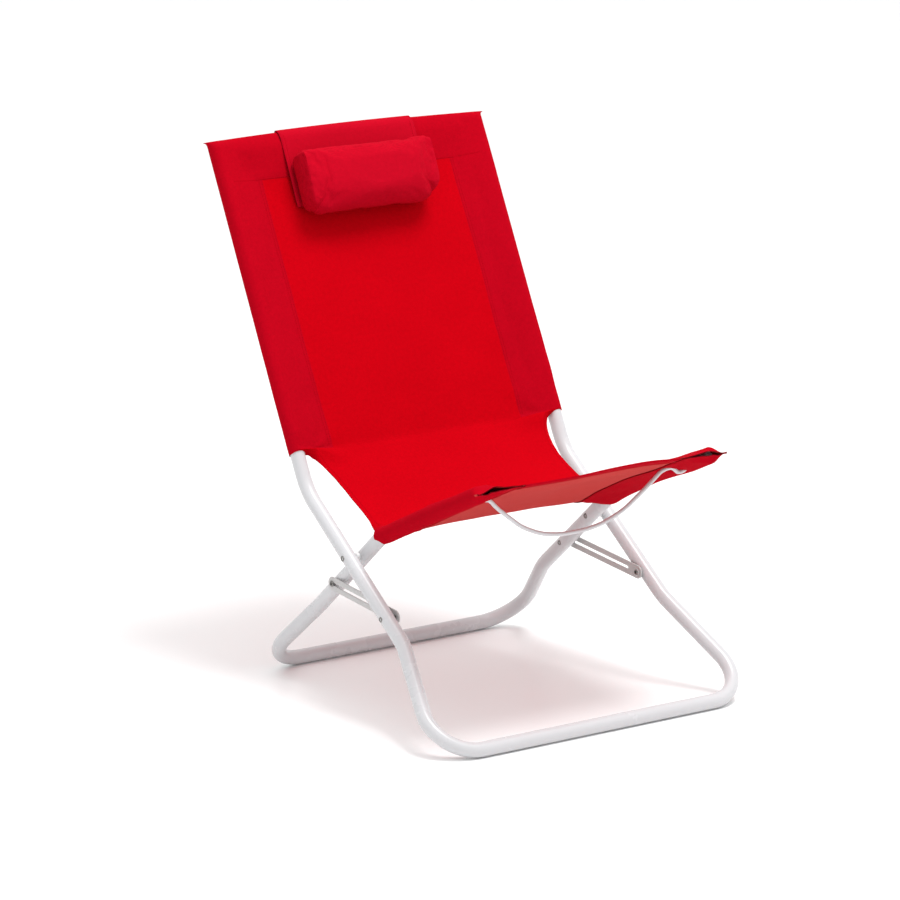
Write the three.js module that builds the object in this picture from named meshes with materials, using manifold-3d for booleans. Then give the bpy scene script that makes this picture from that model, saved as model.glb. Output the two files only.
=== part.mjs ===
// Low folding beach chair: two crossed U-shaped steel tube frames, a fabric sling with side
// sleeves, two slotted lock links, a swinging wire bow under the seat front, and a head pillow
// on a flap that hangs over the top hem.
// Millimetres. +Z up, the front of the chair faces -Y, X runs across it. The origin is on the
// floor at the centre of the chair's box.
import * as THREE from 'three';
import { mergeVertices } from 'three/addons/utils/BufferGeometryUtils.js';
import Module from 'manifold-3d';

// ---------------------------------------------------------------- driving dimensions
const TUBE_R = 11;            // 22 mm frame tube
const WALL = 1.1;             // tube wall
const XA = 228;               // outer frame, half width between centrelines
const FRAME_GAP = 6.3;        // clear gap between the outer and the inner tubes
const XB = XA - 2 * TUBE_R - FRAME_GAP;   // inner frame, half width between centrelines
const Y_SHIFT = -233.837;      // moves the side profile so that the box is centred on Y = 0

// side profile (y, z), before the shift
const BACK_TOP = [552.3, 765.9];   // upper end of the outer tubes
const BACK_BEND = [314.6, 299.3];  // bend below the back sleeve
const OUT_FLARE = [67.8, 127.4];   // front legs start to splay here
const FRONT_FOOT_Y = -88.5;
const FRONT_FOOT_X = 279.6;        // splayed half width of the front foot bar
const PIVOT = [206.8, 224.2];
const LINK_RIVET = [109.9, 156.7];
const SLOT_PIN = [271.7, 169.2];
const SEAT_REAR = [165.8, 258.9];  // bend at the rear of the seat rails
const SEAT_FRONT = [-80.5, 373.7]; // front ends of the seat rails
const IN_FLARE = [327.4, 122.0];   // rear legs start to splay here
const REAR_FOOT_Y = 439.9;
const REAR_FOOT_X = 235.6;
const FOOT_BEND_R = 60;
const SOFT_BEND_R = 100;
const SLEEVE_END = [340.4, 349.9]; // lower end of the back sleeve
const HEM_TOP = [556.0, 773.0];    // top of the sling along the back

const RIVET_R = 3.0;          // pivot and link rivets
const HOLE_R = 3.4;
const FACETS = 14;            // sides of the round frame tube
const FOOT_Z = TUBE_R * Math.cos(Math.PI / FACETS);   // foot bars stand on a flat facet

const LINK_T = 2.0;           // lock link plate
const LINK_W = 20;
const SLOT_W = 6.4;
const LINK_X = XA - TUBE_R - 4.8;  // inner face of the plate
const BOW_R = 3.0;            // bow wire
const BOW_Y = -30;            // where the bow hangs, before the shift
const BAR_R = 6;              // spreader bar in the top hem
const CLOTH = 2.4;            // thickness kept for the sling cloth

// ---------------------------------------------------------------- helpers
const wasm = await Module();
wasm.setup();

const yz = (x, p) => new THREE.Vector3(x, p[0] + Y_SHIFT, p[1]);

function toSolid(geometry) {
  let g = geometry.clone();
  g.deleteAttribute('normal');
  g.deleteAttribute('uv');
  g = mergeVertices(g, 1e-4);
  return new wasm.Manifold(new wasm.Mesh({
    numProp: 3,
    vertProperties: new Float32Array(g.attributes.position.array),
    triVerts: new Uint32Array(g.index.array),
  }));
}

function toGeometry(solid) {
  const m = solid.getMesh();
  const g = new THREE.BufferGeometry();
  g.setAttribute('position', new THREE.BufferAttribute(new Float32Array(m.vertProperties), 3));
  g.setIndex(new THREE.BufferAttribute(new Uint32Array(m.triVerts), 1));
  g.computeVertexNormals();
  return g;
}

// a cylinder between two points
function rod(a, b, r, sides = 20) {
  const d = new THREE.Vector3().subVectors(b, a);
  const g = new THREE.CylinderGeometry(r, r, d.length(), sides);
  g.rotateX(Math.PI / 2);
  const q = new THREE.Quaternion().setFromUnitVectors(new THREE.Vector3(0, 0, 1), d.clone().normalize());
  g.applyQuaternion(q);
  g.translate((a.x + b.x) / 2, (a.y + b.y) / 2, (a.z + b.z) / 2);
  return g;
}

// a route through given points, each a step of the sweep
class Route extends THREE.Curve {
  constructor(points) { super(); this.points = points; }
  getPointAt(u, target = new THREE.Vector3()) {
    return target.copy(this.points[Math.round(u * (this.points.length - 1))]);
  }
  getPoint(u, target) { return this.getPointAt(u, target); }
  getTangentAt(u, target = new THREE.Vector3()) {
    const n = this.points.length - 1;
    const i = Math.round(u * n);
    const t = new THREE.Vector3();
    if (i > 0) t.add(this.points[i].clone().sub(this.points[i - 1]).normalize());
    if (i < n) t.add(this.points[i + 1].clone().sub(this.points[i]).normalize());
    return target.copy(t.normalize());
  }
  getTangent(u, target) { return this.getTangentAt(u, target); }
}

// corner points with bend radii become a route with arcs
function bendRoute(corners, stepDeg = 14) {
  const out = [corners[0].p.clone()];
  for (let i = 1; i < corners.length - 1; i++) {
    const p = corners[i].p, r = corners[i].r;
    const a = corners[i - 1].p.clone().sub(p).normalize();
    const b = corners[i + 1].p.clone().sub(p).normalize();
    const turn = Math.PI - a.angleTo(b);
    const reach = r * Math.tan(turn / 2);
    const centre = p.clone().add(a.clone().add(b).normalize().multiplyScalar(r / Math.cos(turn / 2)));
    const from = p.clone().addScaledVector(a, reach).sub(centre);
    const to = p.clone().addScaledVector(b, reach).sub(centre);
    const axis = new THREE.Vector3().crossVectors(from, to).normalize();
    const n = Math.max(2, Math.ceil((turn * 180 / Math.PI) / stepDeg));
    for (let k = 0; k <= n; k++) out.push(from.clone().applyAxisAngle(axis, turn * k / n).add(centre));
  }
  out.push(corners[corners.length - 1].p.clone());
  return out;
}

function ring(r, sides, turned = 0) {
  const pts = [];
  for (let i = 0; i < sides; i++) {
    const a = turned + (i / sides) * 2 * Math.PI;
    pts.push(new THREE.Vector2(r * Math.cos(a), r * Math.sin(a)));
  }
  return pts;
}

// a tube along a route, turned so that at the route's middle one facet faces straight down
function sweep(points, r, bore, sides) {
  const route = new Route(points);
  const n = points.length - 1;
  const frames = route.computeFrenetFrames(n, false);
  const k = Math.floor(n / 2);
  const down = Math.atan2(-frames.binormals[k].z, -frames.normals[k].z);
  const phase = down - Math.PI / sides;
  const shape = new THREE.Shape(ring(r, sides, phase));
  if (bore > 0) shape.holes.push(new THREE.Path(ring(bore, sides, phase).reverse()));
  return new THREE.ExtrudeGeometry(shape, {
    steps: n, bevelEnabled: false, extrudePath: route, curveSegments: 1,
  });
}

// a turned piece whose axis runs along X: profile points are (radius, x)
function turned(profile, sides = 14) {
  const g = new THREE.LatheGeometry(profile.map(([r, x]) => new THREE.Vector2(r, x)), sides);
  g.rotateZ(-Math.PI / 2);   // the lathe axis Y becomes +X
  return g;
}

const chair = new THREE.Group();
function add(parent, name, geometry, material) {
  const mesh = new THREE.Mesh(geometry, material);
  mesh.name = name;
  parent.add(mesh);
  return mesh;
}

// ---------------------------------------------------------------- materials
const paint = new THREE.MeshStandardMaterial({ color: 0xf2f1f0, roughness: 0.32, metalness: 0.0 });
const linkPaint = new THREE.MeshStandardMaterial({ color: 0xe9e9ea, roughness: 0.4, metalness: 0.1 });
const rivetSteel = new THREE.MeshStandardMaterial({ color: 0xb9bbbd, roughness: 0.35, metalness: 0.9 });
const plugPlastic = new THREE.MeshStandardMaterial({ color: 0xe6e6e6, roughness: 0.55, metalness: 0.0 });
const slingCloth = new THREE.MeshStandardMaterial({ color: 0xd00014, roughness: 0.85, metalness: 0.0 });
const pillowCloth = new THREE.MeshStandardMaterial({ color: 0xd41028, roughness: 0.85, metalness: 0.0 });

const outer = new THREE.Group();
const inner = new THREE.Group();
chair.add(outer, inner);

// ---------------------------------------------------------------- outer frame tube
const outerCorners = (s) => [
  { p: yz(s * XA, BACK_TOP) },
  { p: yz(s * XA, BACK_BEND), r: SOFT_BEND_R },
  { p: yz(s * XA, OUT_FLARE), r: SOFT_BEND_R },
  { p: yz(s * FRONT_FOOT_X, [FRONT_FOOT_Y, FOOT_Z]), r: FOOT_BEND_R },
];
const outerRoute = bendRoute([...outerCorners(-1), ...outerCorners(1).reverse()]);
let outerTube = toSolid(sweep(outerRoute, TUBE_R, TUBE_R - WALL, FACETS));

const cutX = (solid, p, x0, x1, r) => solid.subtract(toSolid(rod(yz(x0, p), yz(x1, p), r, 12)));
for (const s of [-1, 1]) {
  outerTube = cutX(outerTube, PIVOT, s * (XA - 14), s * (XA + 14), HOLE_R);
  outerTube = cutX(outerTube, LINK_RIVET, s * (XA - 14), s * (XA + 14), HOLE_R);
}

// unit vectors of the back: up along it, and out of its front
const backUp = new THREE.Vector3(0, BACK_TOP[0] - BACK_BEND[0], BACK_TOP[1] - BACK_BEND[1]).normalize();
const backFront = new THREE.Vector3(0, -backUp.z, backUp.y);
const hemTop = yz(0, HEM_TOP);
const barCentre = hemTop.clone().addScaledVector(backUp, -20);
const barYZ = [barCentre.y - Y_SHIFT, barCentre.z];
for (const s of [-1, 1]) {
  outerTube = cutX(outerTube, barYZ, s * (XA - 14), s * XA, 2.6);           // screw hole in the inner wall
  outerTube = cutX(outerTube, barYZ, s * XA, s * (XA + 14), 5.4);           // access hole in the outer wall
}
add(outer, 'outer_frame_tube', toGeometry(outerTube), paint);

// ---------------------------------------------------------------- inner frame tube
const innerCorners = (s) => [
  { p: yz(s * XB, SEAT_FRONT) },
  { p: yz(s * XB, SEAT_REAR), r: SOFT_BEND_R * 0.8 },
  { p: yz(s * XB, IN_FLARE), r: SOFT_BEND_R },
  { p: yz(s * REAR_FOOT_X, [REAR_FOOT_Y, FOOT_Z]), r: FOOT_BEND_R },
];
const innerRoute = bendRoute([...innerCorners(-1), ...innerCorners(1).reverse()]);
let innerTube = toSolid(sweep(innerRoute, TUBE_R, TUBE_R - WALL, FACETS));
const railDir = new THREE.Vector3(0, SEAT_FRONT[0] - SEAT_REAR[0], SEAT_FRONT[1] - SEAT_REAR[1]).normalize();
const railUp = new THREE.Vector3(0, railDir.z, -railDir.y);      // out of the top of the seat
const railZ = (y) => SEAT_FRONT[1] + (y - SEAT_FRONT[0]) * railDir.z / railDir.y;
const BOW_AXIS = [BOW_Y, railZ(BOW_Y) - 5.5];
for (const s of [-1, 1]) {
  innerTube = cutX(innerTube, PIVOT, s * (XB - 14), s * (XB + 14), HOLE_R);
  innerTube = cutX(innerTube, SLOT_PIN, s * (XB - 14), s * (XB + 14), HOLE_R);
  innerTube = cutX(innerTube, BOW_AXIS, s * (XB - 14), s * (XB - 2), BOW_R + 0.5);
}
add(inner, 'inner_frame_tube', toGeometry(innerTube), paint);

// ---------------------------------------------------------------- plugs in the open tube ends
function plug(end, dir, stem) {
  // flange on the tube's end, stem inside it
  const g = new THREE.LatheGeometry([
    [0, -stem], [8.9, -stem], [9.2, -stem + 1.5], [9.2, 0.3], [10.9, 0.3], [10.9, 1.8], [9.6, 3.0], [0, 3.4],
  ].map(([r, y]) => new THREE.Vector2(r, y)), 14);
  g.applyQuaternion(new THREE.Quaternion().setFromUnitVectors(new THREE.Vector3(0, 1, 0), dir));
  g.translate(end.x, end.y, end.z);
  return g;
}
for (const [s, side] of [[-1, 'left'], [1, 'right']]) {
  add(outer, `back_tube_plug_${side}`, plug(yz(s * XA, BACK_TOP), backUp, 5.5), plugPlastic);
  add(inner, `seat_rail_plug_${side}`, plug(yz(s * XB, SEAT_FRONT), railDir, 14), plugPlastic);
}

// ---------------------------------------------------------------- spreader bar in the top hem
const barHalf = XA - TUBE_R - 0.4;
add(outer, 'back_spreader_bar', (() => {
  const g = new THREE.LatheGeometry([
    [BAR_R - 1, -barHalf], [BAR_R, -barHalf], [BAR_R, barHalf], [BAR_R - 1, barHalf], [BAR_R - 1, -barHalf],
  ].map(([r, y]) => new THREE.Vector2(r, y)), 14);
  g.rotateZ(-Math.PI / 2);
  g.translate(0, barCentre.y, barCentre.z);
  return g;
})(), paint);
for (const [s, side] of [[-1, 'left'], [1, 'right']]) {
  const insert = turned([[2.4, s * (barHalf - 18)], [4.6, s * (barHalf - 18)], [4.6, s * (barHalf - 0.6)], [2.4, s * (barHalf - 0.6)], [2.4, s * (barHalf - 18)]], 12);
  if (s < 0) insert.index.array.reverse();
  insert.translate(0, barCentre.y, barCentre.z);
  add(outer, `spreader_insert_${side}`, insert, plugPlastic);
  // pan screw: head inside the tube, against its inner wall
  const x0 = XA - 8.3;
  const screw = turned([[0, x0 - 18], [1.4, x0 - 18], [2.0, x0 - 16], [2.0, x0], [4.4, x0], [4.2, x0 + 1.6], [2.6, x0 + 2.4], [0, x0 + 2.5]], 12);
  if (s < 0) screw.rotateZ(Math.PI);
  screw.translate(0, barCentre.y, barCentre.z);
  add(outer, `spreader_screw_${side}`, screw, rivetSteel);
}

// ---------------------------------------------------------------- rivets, washers and pins
// profiles are given for the right side, running from the inside outwards, then turned for the left
function sidePiece(profile, s, p, sides = 14) {
  const g = turned(profile, sides);
  if (s < 0) g.rotateZ(Math.PI);
  g.translate(0, p[0] + Y_SHIFT, p[1]);
  return g;
}
const outFace = XA + TUBE_R;      // outside of the outer tube
const inFace = XB - TUBE_R;       // inside of the inner tube
const gapIn = XB + TUBE_R;        // gap's inner side
const gapOut = XA - TUBE_R;       // gap's outer side
for (const [s, side] of [[-1, 'left'], [1, 'right']]) {
  // main pivot: domed head at each end
  add(outer, `pivot_rivet_${side}`, sidePiece([
    [0, inFace - 2.9], [2.4, inFace - 2.7], [4.6, inFace - 1.9], [5.8, inFace - 0.4], [RIVET_R, inFace - 0.4],
    [RIVET_R, outFace + 0.4], [6.4, outFace + 0.4], [5.2, outFace + 2.1], [2.8, outFace + 3.0], [0, outFace + 3.2],
  ], s, PIVOT), rivetSteel);
  add(outer, `pivot_spacer_${side}`, sidePiece([
    [HOLE_R, gapIn + 0.4], [7.5, gapIn + 0.4], [7.5, gapOut - 0.4], [HOLE_R, gapOut - 0.4], [HOLE_R, gapIn + 0.4],
  ], s, PIVOT), plugPlastic);
  // link rivet: through the outer tube, the link's round hole and a washer
  add(outer, `link_rivet_${side}`, sidePiece([
    [0, LINK_X - 4.2], [2.6, LINK_X - 4.0], [4.8, LINK_X - 3.2], [5.4, LINK_X - 1.9], [RIVET_R - 0.4, LINK_X - 1.9],
    [RIVET_R - 0.4, outFace + 0.4], [5.8, outFace + 0.4], [4.8, outFace + 1.9], [2.6, outFace + 2.7], [0, outFace + 2.9],
  ], s, LINK_RIVET), rivetSteel);
  add(outer, `link_washer_${side}`, sidePiece([
    [RIVET_R, LINK_X - 1.6], [7.6, LINK_X - 1.6], [7.6, LINK_X - 0.4], [RIVET_R, LINK_X - 0.4], [RIVET_R, LINK_X - 1.6],
  ], s, LINK_RIVET), rivetSteel);
  // slot pin: fixed in the inner tube, its shank stops short of the link plate
  add(inner, `slot_pin_${side}`, sidePiece([
    [0, inFace - 2.7], [2.4, inFace - 2.5], [4.4, inFace - 1.8], [5.4, inFace - 0.4], [RIVET_R, inFace - 0.4],
    [RIVET_R, gapIn + 0.9], [0, gapIn + 0.9],
  ], s, SLOT_PIN), rivetSteel);
  // its head, on the outer side of the plate
  add(inner, `slot_pin_head_${side}`, sidePiece([
    [0, LINK_X + LINK_T + 0.4], [5.6, LINK_X + LINK_T + 0.4], [5.4, LINK_X + LINK_T + 1.4], [3.4, LINK_X + LINK_T + 2.1], [0, LINK_X + LINK_T + 2.2],
  ], s, SLOT_PIN), rivetSteel);
}

// ---------------------------------------------------------------- slotted lock links
const linkLen = Math.hypot(SLOT_PIN[0] - LINK_RIVET[0], SLOT_PIN[1] - LINK_RIVET[1]);
const linkAngle = Math.atan2(SLOT_PIN[1] - LINK_RIVET[1], SLOT_PIN[0] - LINK_RIVET[0]);
function stadium(x0, x1, r, n, cls) {
  const pts = [];
  for (let i = 0; i <= n; i++) {
    const a = -Math.PI / 2 + Math.PI * i / n;
    pts.push(new THREE.Vector2(x1 + r * Math.cos(a), r * Math.sin(a)));
  }
  for (let i = 0; i <= n; i++) {
    const a = Math.PI / 2 + Math.PI * i / n;
    pts.push(new THREE.Vector2(x0 + r * Math.cos(a), r * Math.sin(a)));
  }
  return cls === 'hole' ? pts.reverse() : pts;
}
for (const [s, side] of [[-1, 'left'], [1, 'right']]) {
  const shape = new THREE.Shape(stadium(0, linkLen, LINK_W / 2, 8));
  shape.holes.push(new THREE.Path(ring(RIVET_R, 12).reverse()));
  shape.holes.push(new THREE.Path(stadium(26, linkLen + 0.4, SLOT_W / 2, 6, 'hole')));
  const g = new THREE.ExtrudeGeometry(shape, { depth: LINK_T, bevelEnabled: false, steps: 1 });
  // local x along the link, local y up, local z across the chair
  const m = new THREE.Matrix4().makeBasis(
    new THREE.Vector3(0, Math.cos(linkAngle), Math.sin(linkAngle)),
    new THREE.Vector3(0, -Math.sin(linkAngle), Math.cos(linkAngle)),
    new THREE.Vector3(1, 0, 0));
  g.applyMatrix4(m);
  const x = s > 0 ? LINK_X : -LINK_X - LINK_T;
  g.translate(x, LINK_RIVET[0] + Y_SHIFT, LINK_RIVET[1]);
  add(chair, `lock_link_${side}`, g, linkPaint);
}

// ---------------------------------------------------------------- seat bow
// half of the bow, from the middle outwards: distance from the centre, drop below its end holes
const bowHalf = [
  [0, 63.5], [20, 62.8], [40, 60], [58, 55], [74, 48.5], [88, 41], [101, 32.5], [113, 23.5], [125, 13.5],
  [136, 4.5], [146, -1.2], [155, -2.6], [163, -0.6], [170, 0], [193.5, 0],
];
const bowPts = [
  ...bowHalf.slice(1).reverse().map(([x, d]) => yz(-x, [BOW_AXIS[0], BOW_AXIS[1] - d])),
  ...bowHalf.map(([x, d]) => yz(x, [BOW_AXIS[0], BOW_AXIS[1] - d])),
];
add(chair, 'seat_bow', sweep(bowPts, BOW_R, 0, 8), paint);

// ---------------------------------------------------------------- sling, back part
// a flat panel with a sleeve round each tube that narrows towards its seam
const boreR = TUBE_R + 0.6;
const sleeveR = boreR + 1.6;
const SEAM_IN = 66;           // seam, in from the sleeve's outer edge
const halfT = CLOTH / 2;
function backSection() {
  const pts = [];
  const seam = XA + sleeveR - SEAM_IN;
  const side = (s) => {
    const list = [];
    list.push([s * seam, s > 0 ? -halfT : halfT]);
    const n = 12;
    const a0 = s > 0 ? -100 : 80;       // starts at the lower tangent on the right, the upper one on the left
    for (let i = 0; i <= n; i++) {
      const a = (a0 + 200 * i / n) * Math.PI / 180;
      list.push([s * XA + sleeveR * Math.cos(a), sleeveR * Math.sin(a)]);
    }
    list.push([s * seam, s > 0 ? halfT : -halfT]);
    return list;
  };
  for (const q of side(1)) pts.push(new THREE.Vector2(...q));
  for (const q of side(-1)) pts.push(new THREE.Vector2(...q));
  const shape = new THREE.Shape(pts);
  for (const s of [-1, 1]) {
    shape.holes.push(new THREE.Path(ring(boreR, 16).map((v) => v.add(new THREE.Vector2(s * XA, 0))).reverse()));
  }
  return shape;
}
function slab(shape, start, dirUp, dirFront, length) {
  const g = new THREE.ExtrudeGeometry(shape, { depth: length, bevelEnabled: false, steps: 1 });
  // local x across the chair, local z along dirUp, local y = z cross x
  g.applyMatrix4(new THREE.Matrix4().makeBasis(new THREE.Vector3(1, 0, 0), new THREE.Vector3().crossVectors(dirUp, new THREE.Vector3(1, 0, 0)), dirUp));
  g.translate(start.x, start.y, start.z);
  return g;
}
const sleeveEnd = yz(0, SLEEVE_END);
// drop the end point on to the back's own line
const backTop = yz(0, BACK_TOP);
const along = sleeveEnd.clone().sub(backTop).dot(backUp);
const sleeveStart = backTop.clone().addScaledVector(backUp, along);
const backLen = hemTop.clone().sub(sleeveStart).dot(backUp) - 1;
let slingBack = toSolid(slab(backSection(), sleeveStart, backUp, backFront, backLen));
// hem tunnel round the spreader bar
slingBack = slingBack.add(toSolid(rod(
  new THREE.Vector3(-XA, barCentre.y, barCentre.z), new THREE.Vector3(XA, barCentre.y, barCentre.z), BAR_R + 2.0, 16)));
slingBack = slingBack.subtract(toSolid(rod(
  new THREE.Vector3(-XA, barCentre.y, barCentre.z), new THREE.Vector3(XA, barCentre.y, barCentre.z), BAR_R + 0.5, 16)));
for (const s of [-1, 1]) {
  slingBack = slingBack.subtract(toSolid(rod(
    yz(s * XA, BACK_BEND), yz(s * XA, BACK_TOP).addScaledVector(backUp, 4.2), boreR, 16)));
}
add(outer, 'sling_back', toGeometry(slingBack), slingCloth);

// ---------------------------------------------------------------- sling, seat part
const SEAT_LIFT = 8;          // the seat cloth passes over the upper side of the rails
function seatSection() {
  const w = XB;
  const shape = new THREE.Shape([
    new THREE.Vector2(-w, SEAT_LIFT - halfT), new THREE.Vector2(w, SEAT_LIFT - halfT),
    new THREE.Vector2(w, SEAT_LIFT + halfT), new THREE.Vector2(-w, SEAT_LIFT + halfT),
  ]);
  return shape;
}
const seatRear = yz(0, SEAT_REAR).addScaledVector(railDir, 16);
const seatFrontEnd = yz(0, SEAT_FRONT).addScaledVector(railDir, 6.5);
const seatLen = seatFrontEnd.distanceTo(seatRear);
let slingSeat = toSolid((() => {
  const g = new THREE.ExtrudeGeometry(seatSection(), { depth: seatLen, bevelEnabled: false, steps: 1 });
  g.applyMatrix4(new THREE.Matrix4().makeBasis(new THREE.Vector3(1, 0, 0), railUp, railDir));
  g.translate(seatRear.x, seatRear.y, seatRear.z);
  return g;
})());
const onRail = (s, p) => new THREE.Vector3(s * XB, p.y, p.z);
for (const s of [-1, 1]) slingSeat = slingSeat.add(toSolid(rod(onRail(s, seatRear), onRail(s, seatFrontEnd), sleeveR, 16)));
for (const s of [-1, 1]) {
  slingSeat = slingSeat.subtract(toSolid(rod(
    onRail(s, seatRear.clone().addScaledVector(railDir, -5)), onRail(s, yz(0, SEAT_FRONT).addScaledVector(railDir, 4.4)), boreR, 16)));
  slingSeat = cutX(slingSeat, BOW_AXIS, s * (XB - 20), s * (XB - 2), BOW_R + 1.0);
}
add(inner, 'sling_seat', toGeometry(slingSeat), slingCloth);

// ---------------------------------------------------------------- sling, free part between back and seat
const valleyPts = [
  sleeveStart.clone().addScaledVector(backUp, -0.6),
  yz(0, [300, 318]), yz(0, [255, 292]), yz(0, [212, 271]), yz(0, [182, 262.5]),
  seatRear.clone().addScaledVector(railUp, SEAT_LIFT).addScaledVector(railDir, -0.8),
];
function ribbon(points, thickness, x0, x1) {
  // a strip of constant thickness along points in the side view, running across the chair
  const off = points.map((p, i) => {
    const t = new THREE.Vector3();
    if (i > 0) t.add(p.clone().sub(points[i - 1]).normalize());
    if (i < points.length - 1) t.add(points[i + 1].clone().sub(p).normalize());
    t.normalize();
    return [p.y, p.z, -t.z * thickness / 2, t.y * thickness / 2];
  });
  const a = off.map(([y, z, ny, nz]) => new THREE.Vector2(y + ny, z + nz));
  const b = off.map(([y, z, ny, nz]) => new THREE.Vector2(y - ny, z - nz)).reverse();
  const g = new THREE.ExtrudeGeometry(new THREE.Shape([...a, ...b]), { depth: x1 - x0, bevelEnabled: false, steps: 1 });
  // local x -> y, local y -> z, local z -> x
  g.applyMatrix4(new THREE.Matrix4().makeBasis(new THREE.Vector3(0, 1, 0), new THREE.Vector3(0, 0, 1), new THREE.Vector3(1, 0, 0)));
  g.translate(x0, 0, 0);
  return g;
}
add(chair, 'sling_valley', ribbon(valleyPts, CLOTH, -183, 183), slingCloth);

// ---------------------------------------------------------------- head pillow and its flap
const FLAP_HALF = 118;
const HEAD_X = -4.5;          // the headrest hangs a little to one side
const PILLOW = { w: 240, h: 114, t: 50, down: 82 };   // size, and its middle below the hem's top
const FLAP_T = 2.0;
const at = (up, front) => hemTop.clone().addScaledVector(backUp, up).addScaledVector(backFront, front);
// rear half: up the back of the panel and over the hem
const hemR = BAR_R + 2.0 + 0.6 + FLAP_T / 2;
const rearPts = [at(-150, -halfT - 0.6 - FLAP_T / 2), at(-60, -halfT - 2.2 - FLAP_T / 2), at(-30, -hemR + 1.2), at(-20, -hemR), at(-9.5, -hemR + 1.0), at(0.8, -6.5), at(2.6, 0), at(1.0, 6.0)];
add(outer, 'headrest_flap_rear', ribbon(rearPts, FLAP_T, HEAD_X - FLAP_HALF, HEAD_X + FLAP_HALF), pillowCloth);
// front half: hangs from the fold line in front of the hem, behind the pillow
const FOLD = [-2.6, 9.8];     // fold line: below the hem's top, in front of the back's plane
const frontPts = [at(FOLD[0] - 1.0, FOLD[1]), at(-20, hemR + 0.8), at(-45, hemR - 1.8), at(-130, halfT + 2.8 + FLAP_T / 2)];
add(chair, 'headrest_flap_front', ribbon(frontPts.reverse(), FLAP_T, HEAD_X - FLAP_HALF, HEAD_X + FLAP_HALF), pillowCloth);
// pillow: plump rounded block, flat against the flap
add(chair, 'headrest_pillow', (() => {
  const bevel = 17, w = PILLOW.w / 2 - bevel, h = PILLOW.h / 2 - bevel, r = 12;
  const pts = [];
  for (const [cx, cy, a0] of [[w - r, h - r, 0], [-w + r, h - r, 90], [-w + r, -h + r, 180], [w - r, -h + r, 270]]) {
    for (let i = 0; i <= 3; i++) {
      const a = (a0 + 90 * i / 3) * Math.PI / 180;
      pts.push(new THREE.Vector2(cx + r * Math.cos(a), cy + r * Math.sin(a)));
    }
  }
  const g = new THREE.ExtrudeGeometry(new THREE.Shape(pts), {
    depth: PILLOW.t - 2 * bevel, bevelEnabled: true, bevelSize: bevel, bevelThickness: bevel, bevelSegments: 3, steps: 1,
  });
  g.translate(0, 0, bevel);
  // local x across, local y up the back, local z out of its front
  g.applyMatrix4(new THREE.Matrix4().makeBasis(new THREE.Vector3(1, 0, 0), backUp, backFront));
  const c = at(-PILLOW.down, hemR + FLAP_T / 2 + 0.5);
  g.translate(c.x + HEAD_X, c.y, c.z);
  return g;
})(), pillowCloth);

export default chair;
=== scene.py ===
# Folding beach chair: the looks. Everything is in metres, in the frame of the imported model.
import bpy, bmesh, math, random
import numpy as np
from mathutils import Vector, Matrix, Quaternion, noise


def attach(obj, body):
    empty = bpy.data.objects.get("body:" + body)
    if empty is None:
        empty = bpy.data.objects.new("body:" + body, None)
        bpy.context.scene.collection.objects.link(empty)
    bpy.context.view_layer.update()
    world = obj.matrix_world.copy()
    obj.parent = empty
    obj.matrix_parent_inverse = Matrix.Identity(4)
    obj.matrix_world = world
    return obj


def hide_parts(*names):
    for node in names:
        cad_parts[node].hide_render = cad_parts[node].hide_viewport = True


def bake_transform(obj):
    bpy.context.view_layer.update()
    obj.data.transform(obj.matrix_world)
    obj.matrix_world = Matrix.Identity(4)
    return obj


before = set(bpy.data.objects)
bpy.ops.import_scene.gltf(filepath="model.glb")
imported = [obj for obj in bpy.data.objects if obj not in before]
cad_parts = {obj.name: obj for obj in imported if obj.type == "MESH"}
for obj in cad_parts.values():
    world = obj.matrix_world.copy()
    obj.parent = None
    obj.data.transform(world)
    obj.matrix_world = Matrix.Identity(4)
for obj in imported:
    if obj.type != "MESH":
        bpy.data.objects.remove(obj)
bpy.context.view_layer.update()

rng = np.random.default_rng(7)

# ------------------------------------------------------------------ dimensions, in millimetres, side profile (y, z)
YS = -233.837
TUBE_R = 11.0
XA = 228.0
XB = XA - 2 * TUBE_R - 6.3
BACK_TOP = (552.3, 765.9)
BACK_BEND = (314.6, 299.3)
OUT_FLARE = (67.8, 127.4)
FRONT_FOOT = (279.6, -88.5)
PIVOT = (206.8, 224.2)
LINK_RIVET = (109.9, 156.7)
SLOT_PIN = (271.7, 169.2)
SEAT_REAR = (165.8, 258.9)
SEAT_FRONT = (-80.5, 373.7)
IN_FLARE = (327.4, 122.0)
REAR_FOOT = (235.6, 439.9)
FOOT_Z = 10.9
HEM_TOP = (556.0, 773.0)
SLEEVE_END = (340.4, 349.9)
LINK_X = XA - TUBE_R - 4.8
LINK_T = 2.0

def V(x, y, z):
    """A point in mm, unshifted side profile, to metres in the row frame."""
    return np.array([x, y + YS, z], float) / 1000.0

def unit(v):
    v = np.asarray(v, float)
    return v / np.linalg.norm(v)

def smooth(t):
    t = np.clip(t, 0.0, 1.0)
    return t * t * (3 - 2 * t)

BU = unit([BACK_TOP[0] - BACK_BEND[0], BACK_TOP[1] - BACK_BEND[1]])     # up the back, (y, z)
BF = np.array([-BU[1], BU[0]])                                          # out of the back's front
RD = unit([SEAT_FRONT[0] - SEAT_REAR[0], SEAT_FRONT[1] - SEAT_REAR[1]]) # forward along the seat rail
RU = np.array([RD[1], -RD[0]])                                          # out of the seat's top
_e = np.array(SLEEVE_END) - np.array(BACK_TOP)
SB = np.array(BACK_TOP) + BU * float(_e @ BU)                           # lower end of the back sleeve
SR = np.array(SEAT_REAR)
BACK_LEN = float((np.array(HEM_TOP) - SB) @ BU)                         # sleeve end to hem top
RAIL_LEN = float(np.linalg.norm(np.array(SEAT_FRONT) - SR))

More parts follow.
